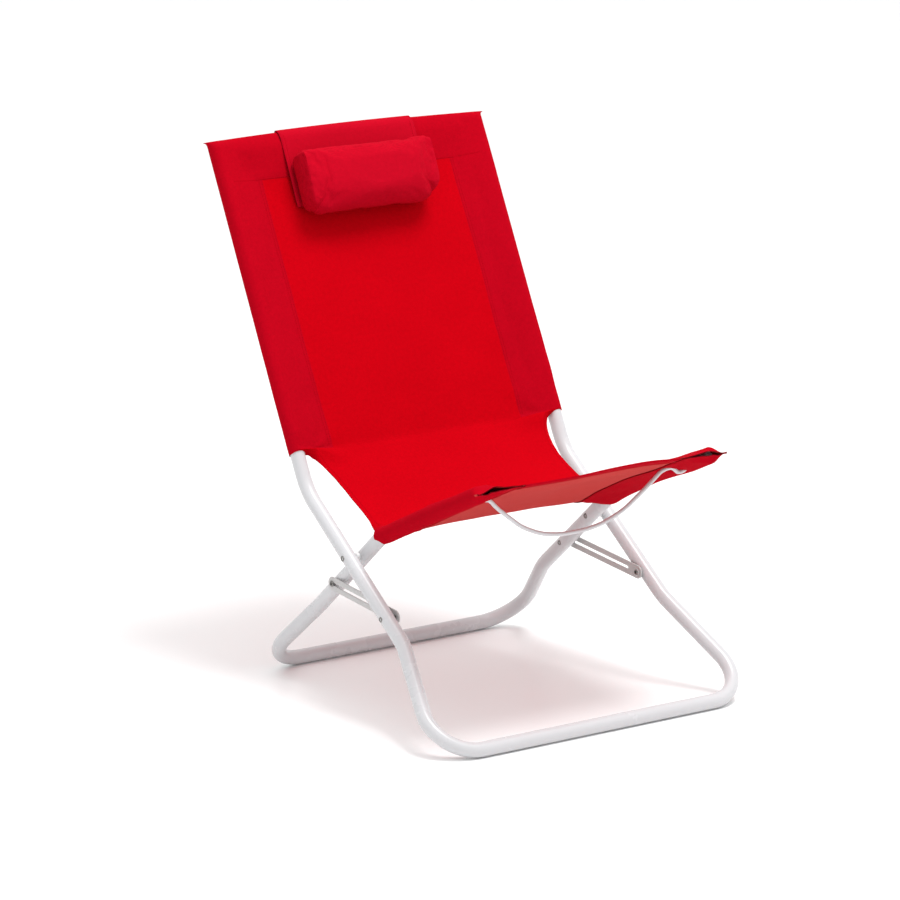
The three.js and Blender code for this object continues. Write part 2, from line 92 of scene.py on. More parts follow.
# ------------------------------------------------------------------ materials
def new_material(name):
    m = bpy.data.materials.new(name)
    m.use_nodes = True
    nt = m.node_tree
    for n in list(nt.nodes):
        nt.nodes.remove(n)
    out = nt.nodes.new("ShaderNodeOutputMaterial")
    bsdf = nt.nodes.new("ShaderNodeBsdfPrincipled")
    nt.links.new(bsdf.outputs[0], out.inputs[0])
    return m, nt, bsdf

def node(nt, kind, **inputs):
    n = nt.nodes.new(kind)
    for k, v in inputs.items():
        n.inputs[k].default_value = v
    return n

def math_node(nt, op, a, b=None, clamp=False):
    n = nt.nodes.new("ShaderNodeMath")
    n.operation = op
    n.use_clamp = clamp
    for i, v in enumerate((a, b)):
        if v is None:
            continue
        if isinstance(v, (int, float)):
            n.inputs[i].default_value = v
        else:
            nt.links.new(v, n.inputs[i])
    return n.outputs[0]

def ramp(nt, src, stops):
    n = nt.nodes.new("ShaderNodeValToRGB")
    e = n.color_ramp.elements
    while len(e) > 1:
        e.remove(e[-1])
    e[0].position, e[0].color = stops[0][0], (*stops[0][1], 1)
    for p, c in stops[1:]:
        q = e.new(p)
        q.color = (*c, 1)
    nt.links.new(src, n.inputs[0])
    return n.outputs[0]

def mix_rgb(nt, fac, a, b, blend="MIX"):
    n = nt.nodes.new("ShaderNodeMix")
    n.data_type = "RGBA"
    n.blend_type = blend
    for sock, v in ((n.inputs[0], fac), (n.inputs[6], a), (n.inputs[7], b)):
        if isinstance(v, (int, float)):
            sock.default_value = v
        elif isinstance(v, tuple):
            sock.default_value = (*v, 1) if len(v) == 3 else v
        else:
            nt.links.new(v, sock)
    return n.outputs[2]

def fabric(name, base, dark, pitch=0.00085, rough=0.78, spec=0.12, sheen=0.0, bump=0.35, fade=0.06, uv=True):
    """Plain-weave polyester: warp and weft threads from the cloth's own coordinates, slub and soft shade variation."""
    m, nt, b = new_material(name)
    coord = nt.nodes.new("ShaderNodeTexCoord")
    src = coord.outputs["UV"] if uv else coord.outputs["Object"]
    sep = nt.nodes.new("ShaderNodeSeparateXYZ")
    nt.links.new(src, sep.inputs[0])
    k = 2 * math.pi / pitch
    if uv:
        u, v = sep.outputs[0], sep.outputs[1]
    else:
        u, v = sep.outputs[0], math_node(nt, "SUBTRACT", sep.outputs[2], math_node(nt, "MULTIPLY", sep.outputs[1], 0.5))
    su = math_node(nt, "SINE", math_node(nt, "MULTIPLY", u, k))
    sv = math_node(nt, "SINE", math_node(nt, "MULTIPLY", v, k))
    # over-under: product of the half-pitch waves picks which thread is on top
    cu = math_node(nt, "SINE", math_node(nt, "MULTIPLY", u, k * 0.5))
    cv = math_node(nt, "SINE", math_node(nt, "MULTIPLY", v, k * 0.5))
    over = math_node(nt, "MULTIPLY", cu, cv)
    weave = math_node(nt, "ADD", math_node(nt, "MULTIPLY", math_node(nt, "ABSOLUTE", cu), math_node(nt, "ABSOLUTE", cv)), math_node(nt, "MULTIPLY", over, 0.35))
    slub = node(nt, "ShaderNodeTexNoise", Scale=180.0, Detail=3.0, Roughness=0.6)
    nt.links.new(src, slub.inputs["Vector"])
    cloud = node(nt, "ShaderNodeTexNoise", Scale=9.0, Detail=4.0, Roughness=0.55)
    nt.links.new(coord.outputs["Object"], cloud.inputs["Vector"])
    thread = math_node(nt, "ADD", math_node(nt, "MULTIPLY", weave, 0.55), math_node(nt, "MULTIPLY", slub.outputs[0], 0.6))
    colour = ramp(nt, thread, [(0.18, dark), (0.75, base)])
    shade = ramp(nt, cloud.outputs[0], [(0.3, (1 - fade,) * 3), (0.7, (1, 1, 1))])
    colour = mix_rgb(nt, 1.0, colour, shade, "MULTIPLY")
    nt.links.new(colour, b.inputs["Base Color"])
    r = nt.nodes.new("ShaderNodeMapRange")
    r.inputs["To Min"].default_value = rough - 0.07
    r.inputs["To Max"].default_value = rough + 0.08
    nt.links.new(slub.outputs[0], r.inputs[0])
    nt.links.new(r.outputs[0], b.inputs["Roughness"])
    height = math_node(nt, "ADD", math_node(nt, "MULTIPLY", weave, 0.8), math_node(nt, "MULTIPLY", slub.outputs[0], 0.5))
    bp = nt.nodes.new("ShaderNodeBump")
    bp.inputs["Strength"].default_value = bump
    bp.inputs["Distance"].default_value = 0.00025
    nt.links.new(height, bp.inputs["Height"])
    nt.links.new(bp.outputs[0], b.inputs["Normal"])
    b.inputs["Specular IOR Level"].default_value = spec
    b.inputs["Sheen Weight"].default_value = sheen
    b.inputs["Sheen Roughness"].default_value = 0.5
    b.inputs["Sheen Tint"].default_value = (1.0, 0.25, 0.25, 1)
    return m

def painted(name, base, rough=0.26, spec=0.5, peel=0.12, scuff=True):
    """Powder coat: fine orange peel, faint dust, and scuffs near the floor."""
    m, nt, b = new_material(name)
    coord = nt.nodes.new("ShaderNodeTexCoord")
    peel_n = node(nt, "ShaderNodeTexNoise", Scale=700.0, Detail=2.0, Roughness=0.5)
    nt.links.new(coord.outputs["Object"], peel_n.inputs["Vector"])
    cloud = node(nt, "ShaderNodeTexNoise", Scale=14.0, Detail=5.0, Roughness=0.6)
    nt.links.new(coord.outputs["Object"], cloud.inputs["Vector"])
    sep = nt.nodes.new("ShaderNodeSeparateXYZ")
    nt.links.new(coord.outputs["Object"], sep.inputs[0])
    colour = ramp(nt, cloud.outputs[0], [(0.3, tuple(c * 0.985 for c in base)), (0.7, base)])
    if scuff:
        low = nt.nodes.new("ShaderNodeMapRange")
        low.inputs["From Min"].default_value = 0.006
        low.inputs["From Max"].default_value = 0.0
        nt.links.new(sep.outputs[2], low.inputs[0])
        grit = node(nt, "ShaderNodeTexNoise", Scale=160.0, Detail=6.0, Roughness=0.7)
        nt.links.new(coord.outputs["Object"], grit.inputs["Vector"])
        mask = math_node(nt, "MULTIPLY", low.outputs[0], ramp(nt, grit.outputs[0], [(0.5, (0, 0, 0)), (0.62, (1, 1, 1))]))
        colour = mix_rgb(nt, math_node(nt, "MULTIPLY", mask, 0.12), colour, (0.42, 0.40, 0.38))
    nt.links.new(colour, b.inputs["Base Color"])
    r = nt.nodes.new("ShaderNodeMapRange")
    r.inputs["To Min"].default_value = rough - 0.02
    r.inputs["To Max"].default_value = rough + 0.04
    nt.links.new(cloud.outputs[0], r.inputs[0])
    nt.links.new(r.outputs[0], b.inputs["Roughness"])
    bp = nt.nodes.new("ShaderNodeBump")
    bp.inputs["Strength"].default_value = peel
    bp.inputs["Distance"].default_value = 0.0002
    nt.links.new(peel_n.outputs[0], bp.inputs["Height"])
    nt.links.new(bp.outputs[0], b.inputs["Normal"])
    b.inputs["Specular IOR Level"].default_value = spec
    return m

def metal(name, base, rough=0.36):
    m, nt, b = new_material(name)
    coord = nt.nodes.new("ShaderNodeTexCoord")
    n1 = node(nt, "ShaderNodeTexNoise", Scale=260.0, Detail=5.0, Roughness=0.65)
    nt.links.new(coord.outputs["Object"], n1.inputs["Vector"])
    colour = ramp(nt, n1.outputs[0], [(0.3, tuple(c * 0.8 for c in base)), (0.65, base)])
    nt.links.new(colour, b.inputs["Base Color"])
    r = nt.nodes.new("ShaderNodeMapRange")
    r.inputs["To Min"].default_value = rough - 0.1
    r.inputs["To Max"].default_value = rough + 0.14
    nt.links.new(n1.outputs[0], r.inputs[0])
    nt.links.new(r.outputs[0], b.inputs["Roughness"])
    bp = nt.nodes.new("ShaderNodeBump")
    bp.inputs["Strength"].default_value = 0.15
    bp.inputs["Distance"].default_value = 0.0002
    nt.links.new(n1.outputs[0], bp.inputs["Height"])
    nt.links.new(bp.outputs[0], b.inputs["Normal"])
    b.inputs["Metallic"].default_value = 0.85
    return m

def plastic(name, base, rough=0.5):
    m, nt, b = new_material(name)
    coord = nt.nodes.new("ShaderNodeTexCoord")
    n1 = node(nt, "ShaderNodeTexNoise", Scale=420.0, Detail=3.0, Roughness=0.5)
    nt.links.new(coord.outputs["Object"], n1.inputs["Vector"])
    colour = ramp(nt, n1.outputs[0], [(0.3, tuple(c * 0.93 for c in base)), (0.65, base)])
    nt.links.new(colour, b.inputs["Base Color"])
    r = nt.nodes.new("ShaderNodeMapRange")
    r.inputs["To Min"].default_value = rough - 0.06
    r.inputs["To Max"].default_value = rough + 0.08
    nt.links.new(n1.outputs[0], r.inputs[0])
    nt.links.new(r.outputs[0], b.inputs["Roughness"])
    bp = nt.nodes.new("ShaderNodeBump")
    bp.inputs["Strength"].default_value = 0.2
    bp.inputs["Distance"].default_value = 0.0002
    nt.links.new(n1.outputs[0], bp.inputs["Height"])
    nt.links.new(bp.outputs[0], b.inputs["Normal"])
    return m

M_PAINT = painted("frame_white_powder_coat", (0.575, 0.575, 0.59))
M_LINK = painted("link_white_paint", (0.50, 0.49, 0.485), rough=0.4, scuff=False)
M_RIVET = metal("rivet_zinc", (0.24, 0.23, 0.22))
M_PLUG = plastic("plug_white_plastic", (0.7, 0.7, 0.7))
M_CLOTH = fabric("sling_red_face", (0.54, 0.0003, 0.0055), (0.38, 0.0002, 0.0035), rough=0.92, spec=0.015)
# deeper red for the sleeves and hems: painted shade, standing in for the darker shading they have under the light
M_CLOTH_SHADE_DOUBLED = fabric("sling_red_painted_shade_doubled", (0.475, 0.0012, 0.0100), (0.335, 0.0008, 0.0070), rough=0.92, spec=0.015)
M_CLOTH_BACK = fabric("sling_red_reverse", (0.55, 0.050, 0.045), (0.43, 0.032, 0.030), rough=0.92, spec=0.05)
# near-black red on the cloth's cut edges: painted shade for the thin dark lines along the edges and under the seams
M_CLOTH_SHADE_EDGE = fabric("sling_red_painted_shade_cut_edge", (0.17, 0.001, 0.004), (0.10, 0.0005, 0.003), uv=False, spec=0.02)
M_PILLOW = fabric("pillow_red_cover", (0.49, 0.0018, 0.014), (0.37, 0.001, 0.010), pitch=0.0008, uv=False, bump=0.3, rough=0.9, spec=0.03)
M_PILLOW_FLAP = fabric("flap_red_cover", (0.49, 0.0018, 0.014), (0.37, 0.001, 0.010), pitch=0.0008, bump=0.3, rough=0.9, spec=0.03)
M_THREAD = fabric("red_thread", (0.46, 0.0006, 0.006), (0.32, 0.0004, 0.004), pitch=0.0005, uv=False, spec=0.03)

# ------------------------------------------------------------------ mesh helpers
def make_object(name, verts, faces, materials, mats_of_faces=None, uvs=None, smooth_shade=True):
    me = bpy.data.meshes.new(name)
    me.from_pydata([tuple(map(float, v)) for v in verts], [], [tuple(int(i) for i in f) for f in faces])
    for m in materials:
        me.materials.append(m)
    if mats_of_faces is not None:
        me.polygons.foreach_set("material_index", np.asarray(mats_of_faces, np.int32))
    if smooth_shade:
        me.polygons.foreach_set("use_smooth", np.ones(len(me.polygons), bool))
    if uvs is not None:
        layer = me.uv_layers.new(name="UVMap")
        loops = np.zeros(len(me.loops), np.int32)
        me.loops.foreach_get("vertex_index", loops)
        layer.data.foreach_set("uv", np.asarray(uvs, np.float32)[loops].ravel())
    me.update()
    o = bpy.data.objects.new(name, me)
    bpy.context.scene.collection.objects.link(o)
    return o

def auto_smooth(o, angle=35.0):
    """Sharp edges above an angle, smooth below it."""
    me = o.data
    bm = bmesh.new()
    bm.from_mesh(me)
    for e in bm.edges:
        e.smooth = not (len(e.link_faces) == 2 and e.calc_face_angle(0.0) > math.radians(angle))
    bm.to_mesh(me)
    bm.free()

def bend_route(corners, step_deg=4.0):
    """[(point, radius)] -> points along the bent tube, and how far into a bend each is (0..1)."""
    pts, flat = [np.array(corners[0][0], float)], [0.0]
    for i in range(1, len(corners) - 1):
        p, r = np.array(corners[i][0], float), corners[i][1]
        a = unit(np.array(corners[i - 1][0], float) - p)
        b = unit(np.array(corners[i + 1][0], float) - p)
        turn = math.pi - math.acos(float(np.clip(a @ b, -1, 1)))
        reach = r * math.tan(turn / 2)
        c = p + unit(a + b) * r / math.cos(turn / 2)
        f, t = p + a * reach - c, p + b * reach - c
        axis = unit(np.cross(f, t))
        n = max(3, int(math.ceil(math.degrees(turn) / step_deg)))
        for k in range(n + 1):
            q = Matrix.Rotation(turn * k / n, 3, Vector(axis))
            pts.append(np.array(q @ Vector(f)) + c)
            flat.append(math.sin(math.pi * k / n) * min(1.0, turn))
    pts.append(np.array(corners[-1][0], float))
    flat.append(0.0)
    return np.array(pts), np.array(flat)

def densify(pts, flat, longest):
    out, fl = [pts[0]], [flat[0]]
    for i in range(1, len(pts)):
        d = np.linalg.norm(pts[i] - pts[i - 1])
        n = max(1, int(math.ceil(d / longest)))
        for k in range(1, n + 1):
            out.append(pts[i - 1] + (pts[i] - pts[i - 1]) * k / n)
            fl.append(flat[i - 1] + (flat[i] - flat[i - 1]) * k / n)
    return np.array(out), np.array(fl)

def tube(name, pts, r, sides, mat, wall=None, flat=None, flatten=0.05, cap_round=None):
    """A closed tube along pts. With wall, its ends are open for 14 mm like a cut tube."""
    pts = np.asarray(pts, float)
    n = len(pts)
    flat = np.zeros(n) if flat is None else flat
    tang = np.zeros_like(pts)
    tang[1:-1] = pts[2:] - pts[:-2]
    tang[0], tang[-1] = pts[1] - pts[0], pts[-1] - pts[-2]
    tang /= np.linalg.norm(tang, axis=1)[:, None]
    ref = np.array([0, 0, 1.0]) if abs(tang[0][2]) < 0.9 else np.array([1.0, 0, 0])
    nrm = unit(np.cross(np.cross(tang[0], ref), tang[0]))
    verts, faces = [], []
    for i in range(n):
        nrm = nrm - tang[i] * (nrm @ tang[i])
        nrm = unit(nrm)
        bi = np.cross(tang[i], nrm)
        curv = None
        if flat[i] > 0 and 0 < i < n - 1:
            curv = pts[i - 1] + pts[i + 1] - 2 * pts[i]
            curv = curv - tang[i] * (curv @ tang[i])
            curv = unit(curv) if np.linalg.norm(curv) > 1e-9 else None
        for k in range(sides):
            a = 2 * math.pi * k / sides
            d = nrm * math.cos(a) + bi * math.sin(a)
            off = d * r
            if curv is not None:
                off = off - curv * (off @ curv) * flatten * flat[i]
            verts.append(pts[i] + off)
    for i in range(n - 1):
        for k in range(sides):
            k2 = (k + 1) % sides
            faces.append((i * sides + k, i * sides + k2, (i + 1) * sides + k2, (i + 1) * sides + k))
    def end(first):
        base = 0 if first else (n - 1) * sides
        p, t = (pts[0], -tang[0]) if first else (pts[-1], tang[-1])
        ring0 = list(range(base, base + sides))
        loops = []
        if wall:
            stages = [(r - wall, 0.0), (r - wall, -0.014)]
        elif cap_round:
            stages = [(r * 0.92, r * 0.35), (r * 0.6, r * 0.75)]
        else:
            stages = [(r * 0.97, r * 0.06)]
        prev = ring0
        for rr, along in stages:
            start = len(verts)
            for k in range(sides):
                d = (np.array(verts[base + k]) - p)
                d = d - t * (d @ t)
                verts.append(p + unit(d) * rr + t * along)
            cur = list(range(start, start + sides))
            for k in range(sides):
                k2 = (k + 1) % sides
                faces.append((prev[k], cur[k], cur[k2], prev[k2]) if not first else (prev[k], prev[k2], cur[k2], cur[k])[::-1] if False else ((prev[k2], cur[k2], cur[k], prev[k]) if first else (prev[k], cur[k], cur[k2], prev[k2])))
            prev = cur
        faces.append(tuple(prev) if first else tuple(prev[::-1]))
    end(True)
    end(False)
    o = make_object(name, verts, faces, [mat])
    bm = bmesh.new()
    bm.from_mesh(o.data)
    bmesh.ops.recalc_face_normals(bm, faces=bm.faces)
    bm.to_mesh(o.data)
    bm.free()
    auto_smooth(o, 40)
    return o

def lathe_x(name, profile, centre, side, mat, sides=40):
    """A turned piece along X. profile is (radius, x) in mm for the right side, centre the (y, z) of its axis."""
    verts, faces, rings = [], [], []
    cy, cz = (centre[0] + YS) / 1000, centre[1] / 1000
    for r, x in profile:
        if r < 1e-6:
            verts.append((side * x / 1000, cy, cz))
            rings.append([len(verts) - 1])
        else:
            start = len(verts)
            for k in range(sides):
                a = 2 * math.pi * k / sides
                verts.append((side * x / 1000, cy + r / 1000 * math.cos(a), cz + r / 1000 * math.sin(a)))
            rings.append(list(range(start, start + sides)))
    for A, B in zip(rings, rings[1:]):
        for k in range(sides):
            k2 = (k + 1) % sides
            if len(A) == 1 and len(B) == 1:
                continue
            if len(A) == 1:
                faces.append((A[0], B[k], B[k2]))
            elif len(B) == 1:
                faces.append((A[k], B[0], A[k2]))
            else:
                faces.append((A[k], B[k], B[k2], A[k2]))
    o = make_object(name, verts, faces, [mat])
    bm = bmesh.new()
    bm.from_mesh(o.data)
    if profile[0] == profile[-1]:
        bmesh.ops.remove_doubles(bm, verts=bm.verts, dist=1e-7)
    bmesh.ops.recalc_face_normals(bm, faces=bm.faces)
    bm.to_mesh(o.data)
    bm.free()
    auto_smooth(o, 30)
    return o

def dome(r, h, x0, out, n=5):
    """A hollow rivet's rolled head from its rim at x0, rising by h outwards (out is +1 or -1), with its open middle."""
    pts = [(r * 0.9, x0 - out * 0.7), (r, x0)]
    for i in range(1, n + 1):
        a = math.pi / 2 * i / n
        pts.append((r * 0.62 + r * 0.38 * math.cos(a), x0 + out * h * math.sin(a)))
    pts += [(r * 0.50, x0 + out * h * 0.8), (r * 0.42, x0 + out * h * 0.2), (r * 0.40, x0 - out * 1.6), (0.0, x0 - out * 1.9)]
    return pts

# ------------------------------------------------------------------ frame tubes
def outer_corners(s):
    return [(V(s * XA, *BACK_TOP), 0), (V(s * XA, *BACK_BEND), 0.1), (V(s * XA, *OUT_FLARE), 0.1), (V(s * FRONT_FOOT[0], FRONT_FOOT[1], FOOT_Z), 0.06)]

def inner_corners(s):
    return [(V(s * XB, *SEAT_FRONT), 0), (V(s * XB, *SEAT_REAR), 0.08), (V(s * XB, *IN_FLARE), 0.1), (V(s * REAR_FOOT[0], REAR_FOOT[1], FOOT_Z), 0.06)]

def rail_arch(x, s):
    """The seat rails are not quite straight: how far they rise (mm) at s along them, more on the right."""
    if s <= 0 or s >= 222:
        return 0.0
    a = 1.2 + 4.3 * float(smooth((x + 150) / 300.0))
    return a * math.sin(math.pi * s / 222.0) ** 1.2

RAIL_CUT, BACK_CUT = 257.0, 9.0             # the rails' painted ends, hidden in the sleeves
for name, corners, body in (("outer_frame_painted", outer_corners, "outer_frame"), ("inner_frame_painted", inner_corners, "inner_frame")):
    cs = corners(-1) + corners(1)[::-1]
    for i, s in ((0, -1), (-1, 1)):
        if body == "inner_frame":
            e = SR + RD * RAIL_CUT
            cs[i] = (V(s * XB, e[0], e[1]), 0)
        else:
            e = np.array(BACK_TOP) - BU * BACK_CUT
            cs[i] = (V(s * XA, e[0], e[1]), 0)
    pts, flat = bend_route(cs)
    pts, flat = densify(pts, flat, 0.02 if body == "inner_frame" else 0.05)
    if body == "inner_frame":
        for i in range(len(pts)):
            q = np.array([pts[i][1] * 1000 - YS, pts[i][2] * 1000]) - SR
            sr = float(q @ RD)
            if sr > 0 and abs(float(q @ RU)) < 14:
                lift = rail_arch(pts[i][0] * 1000, sr) / 1000
                pts[i] = pts[i] + np.array([0, RU[0], RU[1]]) * lift
    o = tube(name, pts, 0.01088, 40, M_PAINT, wall=0.0011, flat=flat)
    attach(o, body)
    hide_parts("outer_frame_tube" if body == "outer_frame" else "inner_frame_tube")

# ------------------------------------------------------------------ rivets, washers, pins
OUT, INN, GI, GO = XA + TUBE_R, XB - TUBE_R, XB + TUBE_R, XA - TUBE_R
for s, side in ((-1, "left"), (1, "right")):
    prof = dome(4.3, 1.5, OUT - 0.7, 1)[::-1] + [(2.6, OUT - 1.6), (2.6, INN + 1.6)] + dome(4.3, 1.6, INN + 0.7, -1)
    o = lathe_x(f"pivot_rivet_turned_{side}", prof, PIVOT, s, M_RIVET)
    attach(o, "outer_frame"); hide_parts(f"pivot_rivet_{side}")
    o = lathe_x(f"pivot_spacer_turned_{side}", [(2.9, GI + 0.1), (4.6, GI + 0.1), (5.0, GI + 0.5), (5.0, GO - 0.5), (4.6, GO - 0.1), (2.9, GO - 0.1), (2.9, GI + 0.1)], PIVOT, s, M_PLUG)
    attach(o, "outer_frame"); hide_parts(f"pivot_spacer_{side}")
    prof = dome(4.0, 1.3, OUT - 0.7, 1)[::-1] + [(2.4, OUT - 1.6), (2.4, LINK_X - 1.0)] + dome(4.0, 1.5, LINK_X - 1.8, -1)
    o = lathe_x(f"link_rivet_turned_{side}", prof, LINK_RIVET, s, M_RIVET)
    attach(o, "outer_frame"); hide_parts(f"link_rivet_{side}")
    o = lathe_x(f"link_washer_turned_{side}", [(2.7, LINK_X - 1.7), (6.2, LINK_X - 1.7), (6.6, LINK_X - 1.4), (6.6, LINK_X - 0.6), (6.2, LINK_X - 0.3), (2.7, LINK_X - 0.3), (2.7, LINK_X - 1.7)], LINK_RIVET, s, M_LINK)
    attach(o, "outer_frame"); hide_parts(f"link_washer_{side}")
    x0 = LINK_X + LINK_T + 0.3
    prof = [(0.0, x0 - 0.2), (1.95, x0 - 0.2), (1.95, INN + 1.6)] + dome(3.9, 1.5, INN + 0.7, -1)
    o = lathe_x(f"slot_pin_turned_{side}", prof, SLOT_PIN, s, M_RIVET)
    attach(o, "inner_frame"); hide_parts(f"slot_pin_{side}")
    o = lathe_x(f"slot_pin_head_turned_{side}", [(0.0, x0)] + dome(4.4, 1.3, x0 + 0.8, 1), SLOT_PIN, s, M_RIVET)
    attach(o, "inner_frame"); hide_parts(f"slot_pin_head_{side}")

# ------------------------------------------------------------------ slotted lock links
LL = math.hypot(SLOT_PIN[0] - LINK_RIVET[0], SLOT_PIN[1] - LINK_RIVET[1])
LA = math.atan2(SLOT_PIN[1] - LINK_RIVET[1], SLOT_PIN[0] - LINK_RIVET[0])

def lock_link(name, s):
    """A stamped plate: round ends, long slot, pressed rims and rolled edges."""
    def loop(r, x0, x1, n):
        pts = []
        for i in range(n + 1):
            a = -math.pi / 2 + math.pi * i / n
            pts.append((x1 + r * math.cos(a), r * math.sin(a)))
        for i in range(n + 1):
            a = math.pi / 2 + math.pi * i / n
            pts.append((x0 + r * math.cos(a), r * math.sin(a)))
        return pts
    def edges(inner_r, outer_r):
        return loop(outer_r, 0, LL, 20), loop(inner_r, 26, LL + 0.4, 16)
    bm = bmesh.new()
    outer = [bm.verts.new((x, y, 0)) for x, y in loop(10, 0, LL, 20)]
    slot = [bm.verts.new((x, y, 0)) for x, y in loop(2.25, 24, LL + 0.2, 14)]
    hole = [bm.verts.new((2.7 * math.cos(2 * math.pi * i / 24), 2.7 * math.sin(2 * math.pi * i / 24), 0)) for i in range(24)]
    es = []
    for ring in (outer, slot, hole):
        for i in range(len(ring)):
            es.append(bm.edges.new((ring[i], ring[(i + 1) % len(ring)])))
    bmesh.ops.triangle_fill(bm, use_beauty=True, use_dissolve=False, edges=es)
    geom = bmesh.ops.extrude_face_region(bm, geom=list(bm.faces))
    top = [v for v in geom["geom"] if isinstance(v, bmesh.types.BMVert)]
    bmesh.ops.translate(bm, verts=top, vec=(0, 0, LINK_T))
    bmesh.ops.recalc_face_normals(bm, faces=bm.faces)
    rim = [e for e in bm.edges if len(e.link_faces) == 2 and e.calc_face_angle(0) > math.radians(60)]
    bmesh.ops.bevel(bm, geom=rim, offset=0.4, segments=3, profile=0.5, affect="EDGES", clamp_overlap=True)
    ex = Vector((0, math.cos(LA), math.sin(LA)))
    ey = Vector((0, -math.sin(LA), math.cos(LA)))
    x = LINK_X if s > 0 else -LINK_X - LINK_T
    o0 = Vector((x, LINK_RIVET[0] + YS, LINK_RIVET[1]))
    for v in bm.verts:
        p = o0 + ex * v.co.x + ey * v.co.y + Vector((1, 0, 0)) * v.co.z
        v.co = p / 1000
    me = bpy.data.meshes.new(name)
    bm.to_mesh(me)
    bm.free()
    me.materials.append(M_LINK)
    me.polygons.foreach_set("use_smooth", np.ones(len(me.polygons), bool))
    o = bpy.data.objects.new(name, me)
    bpy.context.scene.collection.objects.link(o)
    auto_smooth(o, 30)
    return o

for s, side in ((-1, "left"), (1, "right")):
    o = lock_link(f"lock_link_plate_{side}", s)
    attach(o, f"lock_link_{side}"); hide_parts(f"lock_link_{side}")

# ------------------------------------------------------------------ seat bow
def rail_z(y):
    return SEAT_FRONT[1] + (y - SEAT_FRONT[0]) * RD[1] / RD[0]
BOW_Y = -27.0
BOW_Z = rail_z(BOW_Y) - 7.5
BOW_TILT = math.radians(6.0)
half = [(0, 65.0), (22, 64.2), (45, 60.6), (58, 57), (72, 51.5), (90, 42.5), (106, 31), (121, 19.5), (136, 7.2), (147, -2.2), (154, -5.6), (161, -7.2), (167, -7.2), (172, -5.0), (176, -1.6), (180, 1.6), (185, 3.2), (188.5, 2.4), (193.5, 0)]
left = [(x, d) for x, d in half if x < 147] + [(147, -3.4), (155, -6.2), (166, -6.5), (176, -4.5), (184, -1.5), (193.5, 0)]
ctrl = [(-x, d) for x, d in left[:0:-1]] + half
ctrl = np.array(ctrl, float)
def catmull(p, n):
    out = []
    for i in range(len(p) - 1):
        p0, p1, p2, p3 = p[max(i - 1, 0)], p[i], p[i + 1], p[min(i + 2, len(p) - 1)]
        for k in range(n):
            t = k / n
            out.append(0.5 * ((2 * p1) + (-p0 + p2) * t + (2 * p0 - 5 * p1 + 4 * p2 - p3) * t * t + (-p0 + 3 * p1 - 3 * p2 + p3) * t ** 3))
    out.append(p[-1])
    return np.array(out)
cc = catmull(ctrl, 5)
AXIS_Y, AXIS_Z = -30.0, 344.661            # the holes that the wire's ends turn in
def bow_point(x, d):
    k = float(smooth((abs(x) - 176) / 15.0))
    return V(x, (BOW_Y + d * math.sin(BOW_TILT)) * (1 - k) + (AXIS_Y + d * math.sin(BOW_TILT)) * k, (BOW_Z - d * math.cos(BOW_TILT)) * (1 - k) + (AXIS_Z - d * math.cos(BOW_TILT)) * k)
bow_path = np.array([bow_point(x, d) for x, d in cc])
bow = tube("seat_bow_wire", bow_path, 0.003, 20, M_PAINT)
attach(bow, "seat_bow"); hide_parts("seat_bow")

# ------------------------------------------------------------------ small hidden parts keep their CAD shape
for n, m in (("back_spreader_bar", M_PAINT), ("spreader_insert_left", M_PLUG), ("spreader_insert_right", M_PLUG), ("spreader_screw_left", M_RIVET), ("spreader_screw_right", M_RIVET)):
    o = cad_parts[n]
    o.data.materials.clear()
    o.data.materials.append(m)

# the push-in plugs of the four tube ends, low domes deep inside the sleeves
for s, side in ((-1, "left"), (1, "right")):
    for kind, end, d, x, body in (("back_tube", np.array(BACK_TOP) - BU * BACK_CUT, BU, XA, "outer_frame"), ("seat_rail", SR + RD * RAIL_CUT, RD, XB, "inner_frame")):
        a, b = end - d * 12.0, end + d * 0.4
        o = tube(f"{kind}_end_cap_{side}", np.array([V(s * x, a[0], a[1]), V(s * x, (end - d * 6)[0], (end - d * 6)[1]), V(s * x, b[0], b[1])]), 0.00965, 32, M_PLUG, cap_round=True)
        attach(o, body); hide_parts(f"{kind}_plug_{side}")

# ------------------------------------------------------------------ the sling: one cloth, in mm, side profile unshifted
TH = 1.1                                    # cloth thickness
RC = TUBE_R + 0.25 + TH / 2                 # cloth mid-surface round a tube
BX, SX = XA + RC, XB + RC                   # outermost |x| of the back and seat sleeves
BSEAM, SSEAM = BX - 66.0, SX - 66.0         # sleeve seams
HEM_D = 66.0                                # depth of the top hem
BAR_R, BAR_V = 6.0, 20.0                    # spreader bar in the top hem
S_REAR, S_FRONT = 1.0, 285.6                # seat sleeve from its rear end to the front hem
GAP = TH + 0.12

# side profile of the panel: hem top -> SB -> valley -> SR -> seat front, sampled every millimetre
SRP = SR + RU * 2.6
run = SRP - SB
run_len = float(np.linalg.norm(run))
run_dir = run / run_len
run_up = np.array([-run_dir[1], run_dir[0]])
if run_up[1] < 0:
    run_up = -run_up
poly = []
for i in range(int(BACK_LEN) + 1):
    poly.append(np.array(HEM_TOP) - BU * (BACK_LEN * i / int(BACK_LEN)))
N_BACK = len(poly) - 1
for i in range(1, int(run_len) + 1):
    t = i / int(run_len)
    poly.append(SB + run * t - run_up * 4 * 10.0 * t * (1 - t))
N_RUN = len(poly) - 1
for i in range(1, int(S_FRONT) + 1):
    s = S_FRONT * i / int(S_FRONT)
    poly.append(SR + RD * s + RU * 2.6)
poly = np.array(poly)

def smooth_poly(p, sigma):
    k = int(sigma * 4)
    w = np.exp(-0.5 * (np.arange(-k, k + 1) / sigma) ** 2)
    w /= w.sum()
    a = np.vstack([p[0] + (p[0] - p[1]) * np.arange(k, 0, -1)[:, None], p, p[-1] + (p[-1] - p[-2]) * np.arange(1, k + 1)[:, None]])
    return np.stack([np.convolve(a[:, i], w, "valid") for i in range(2)], 1)

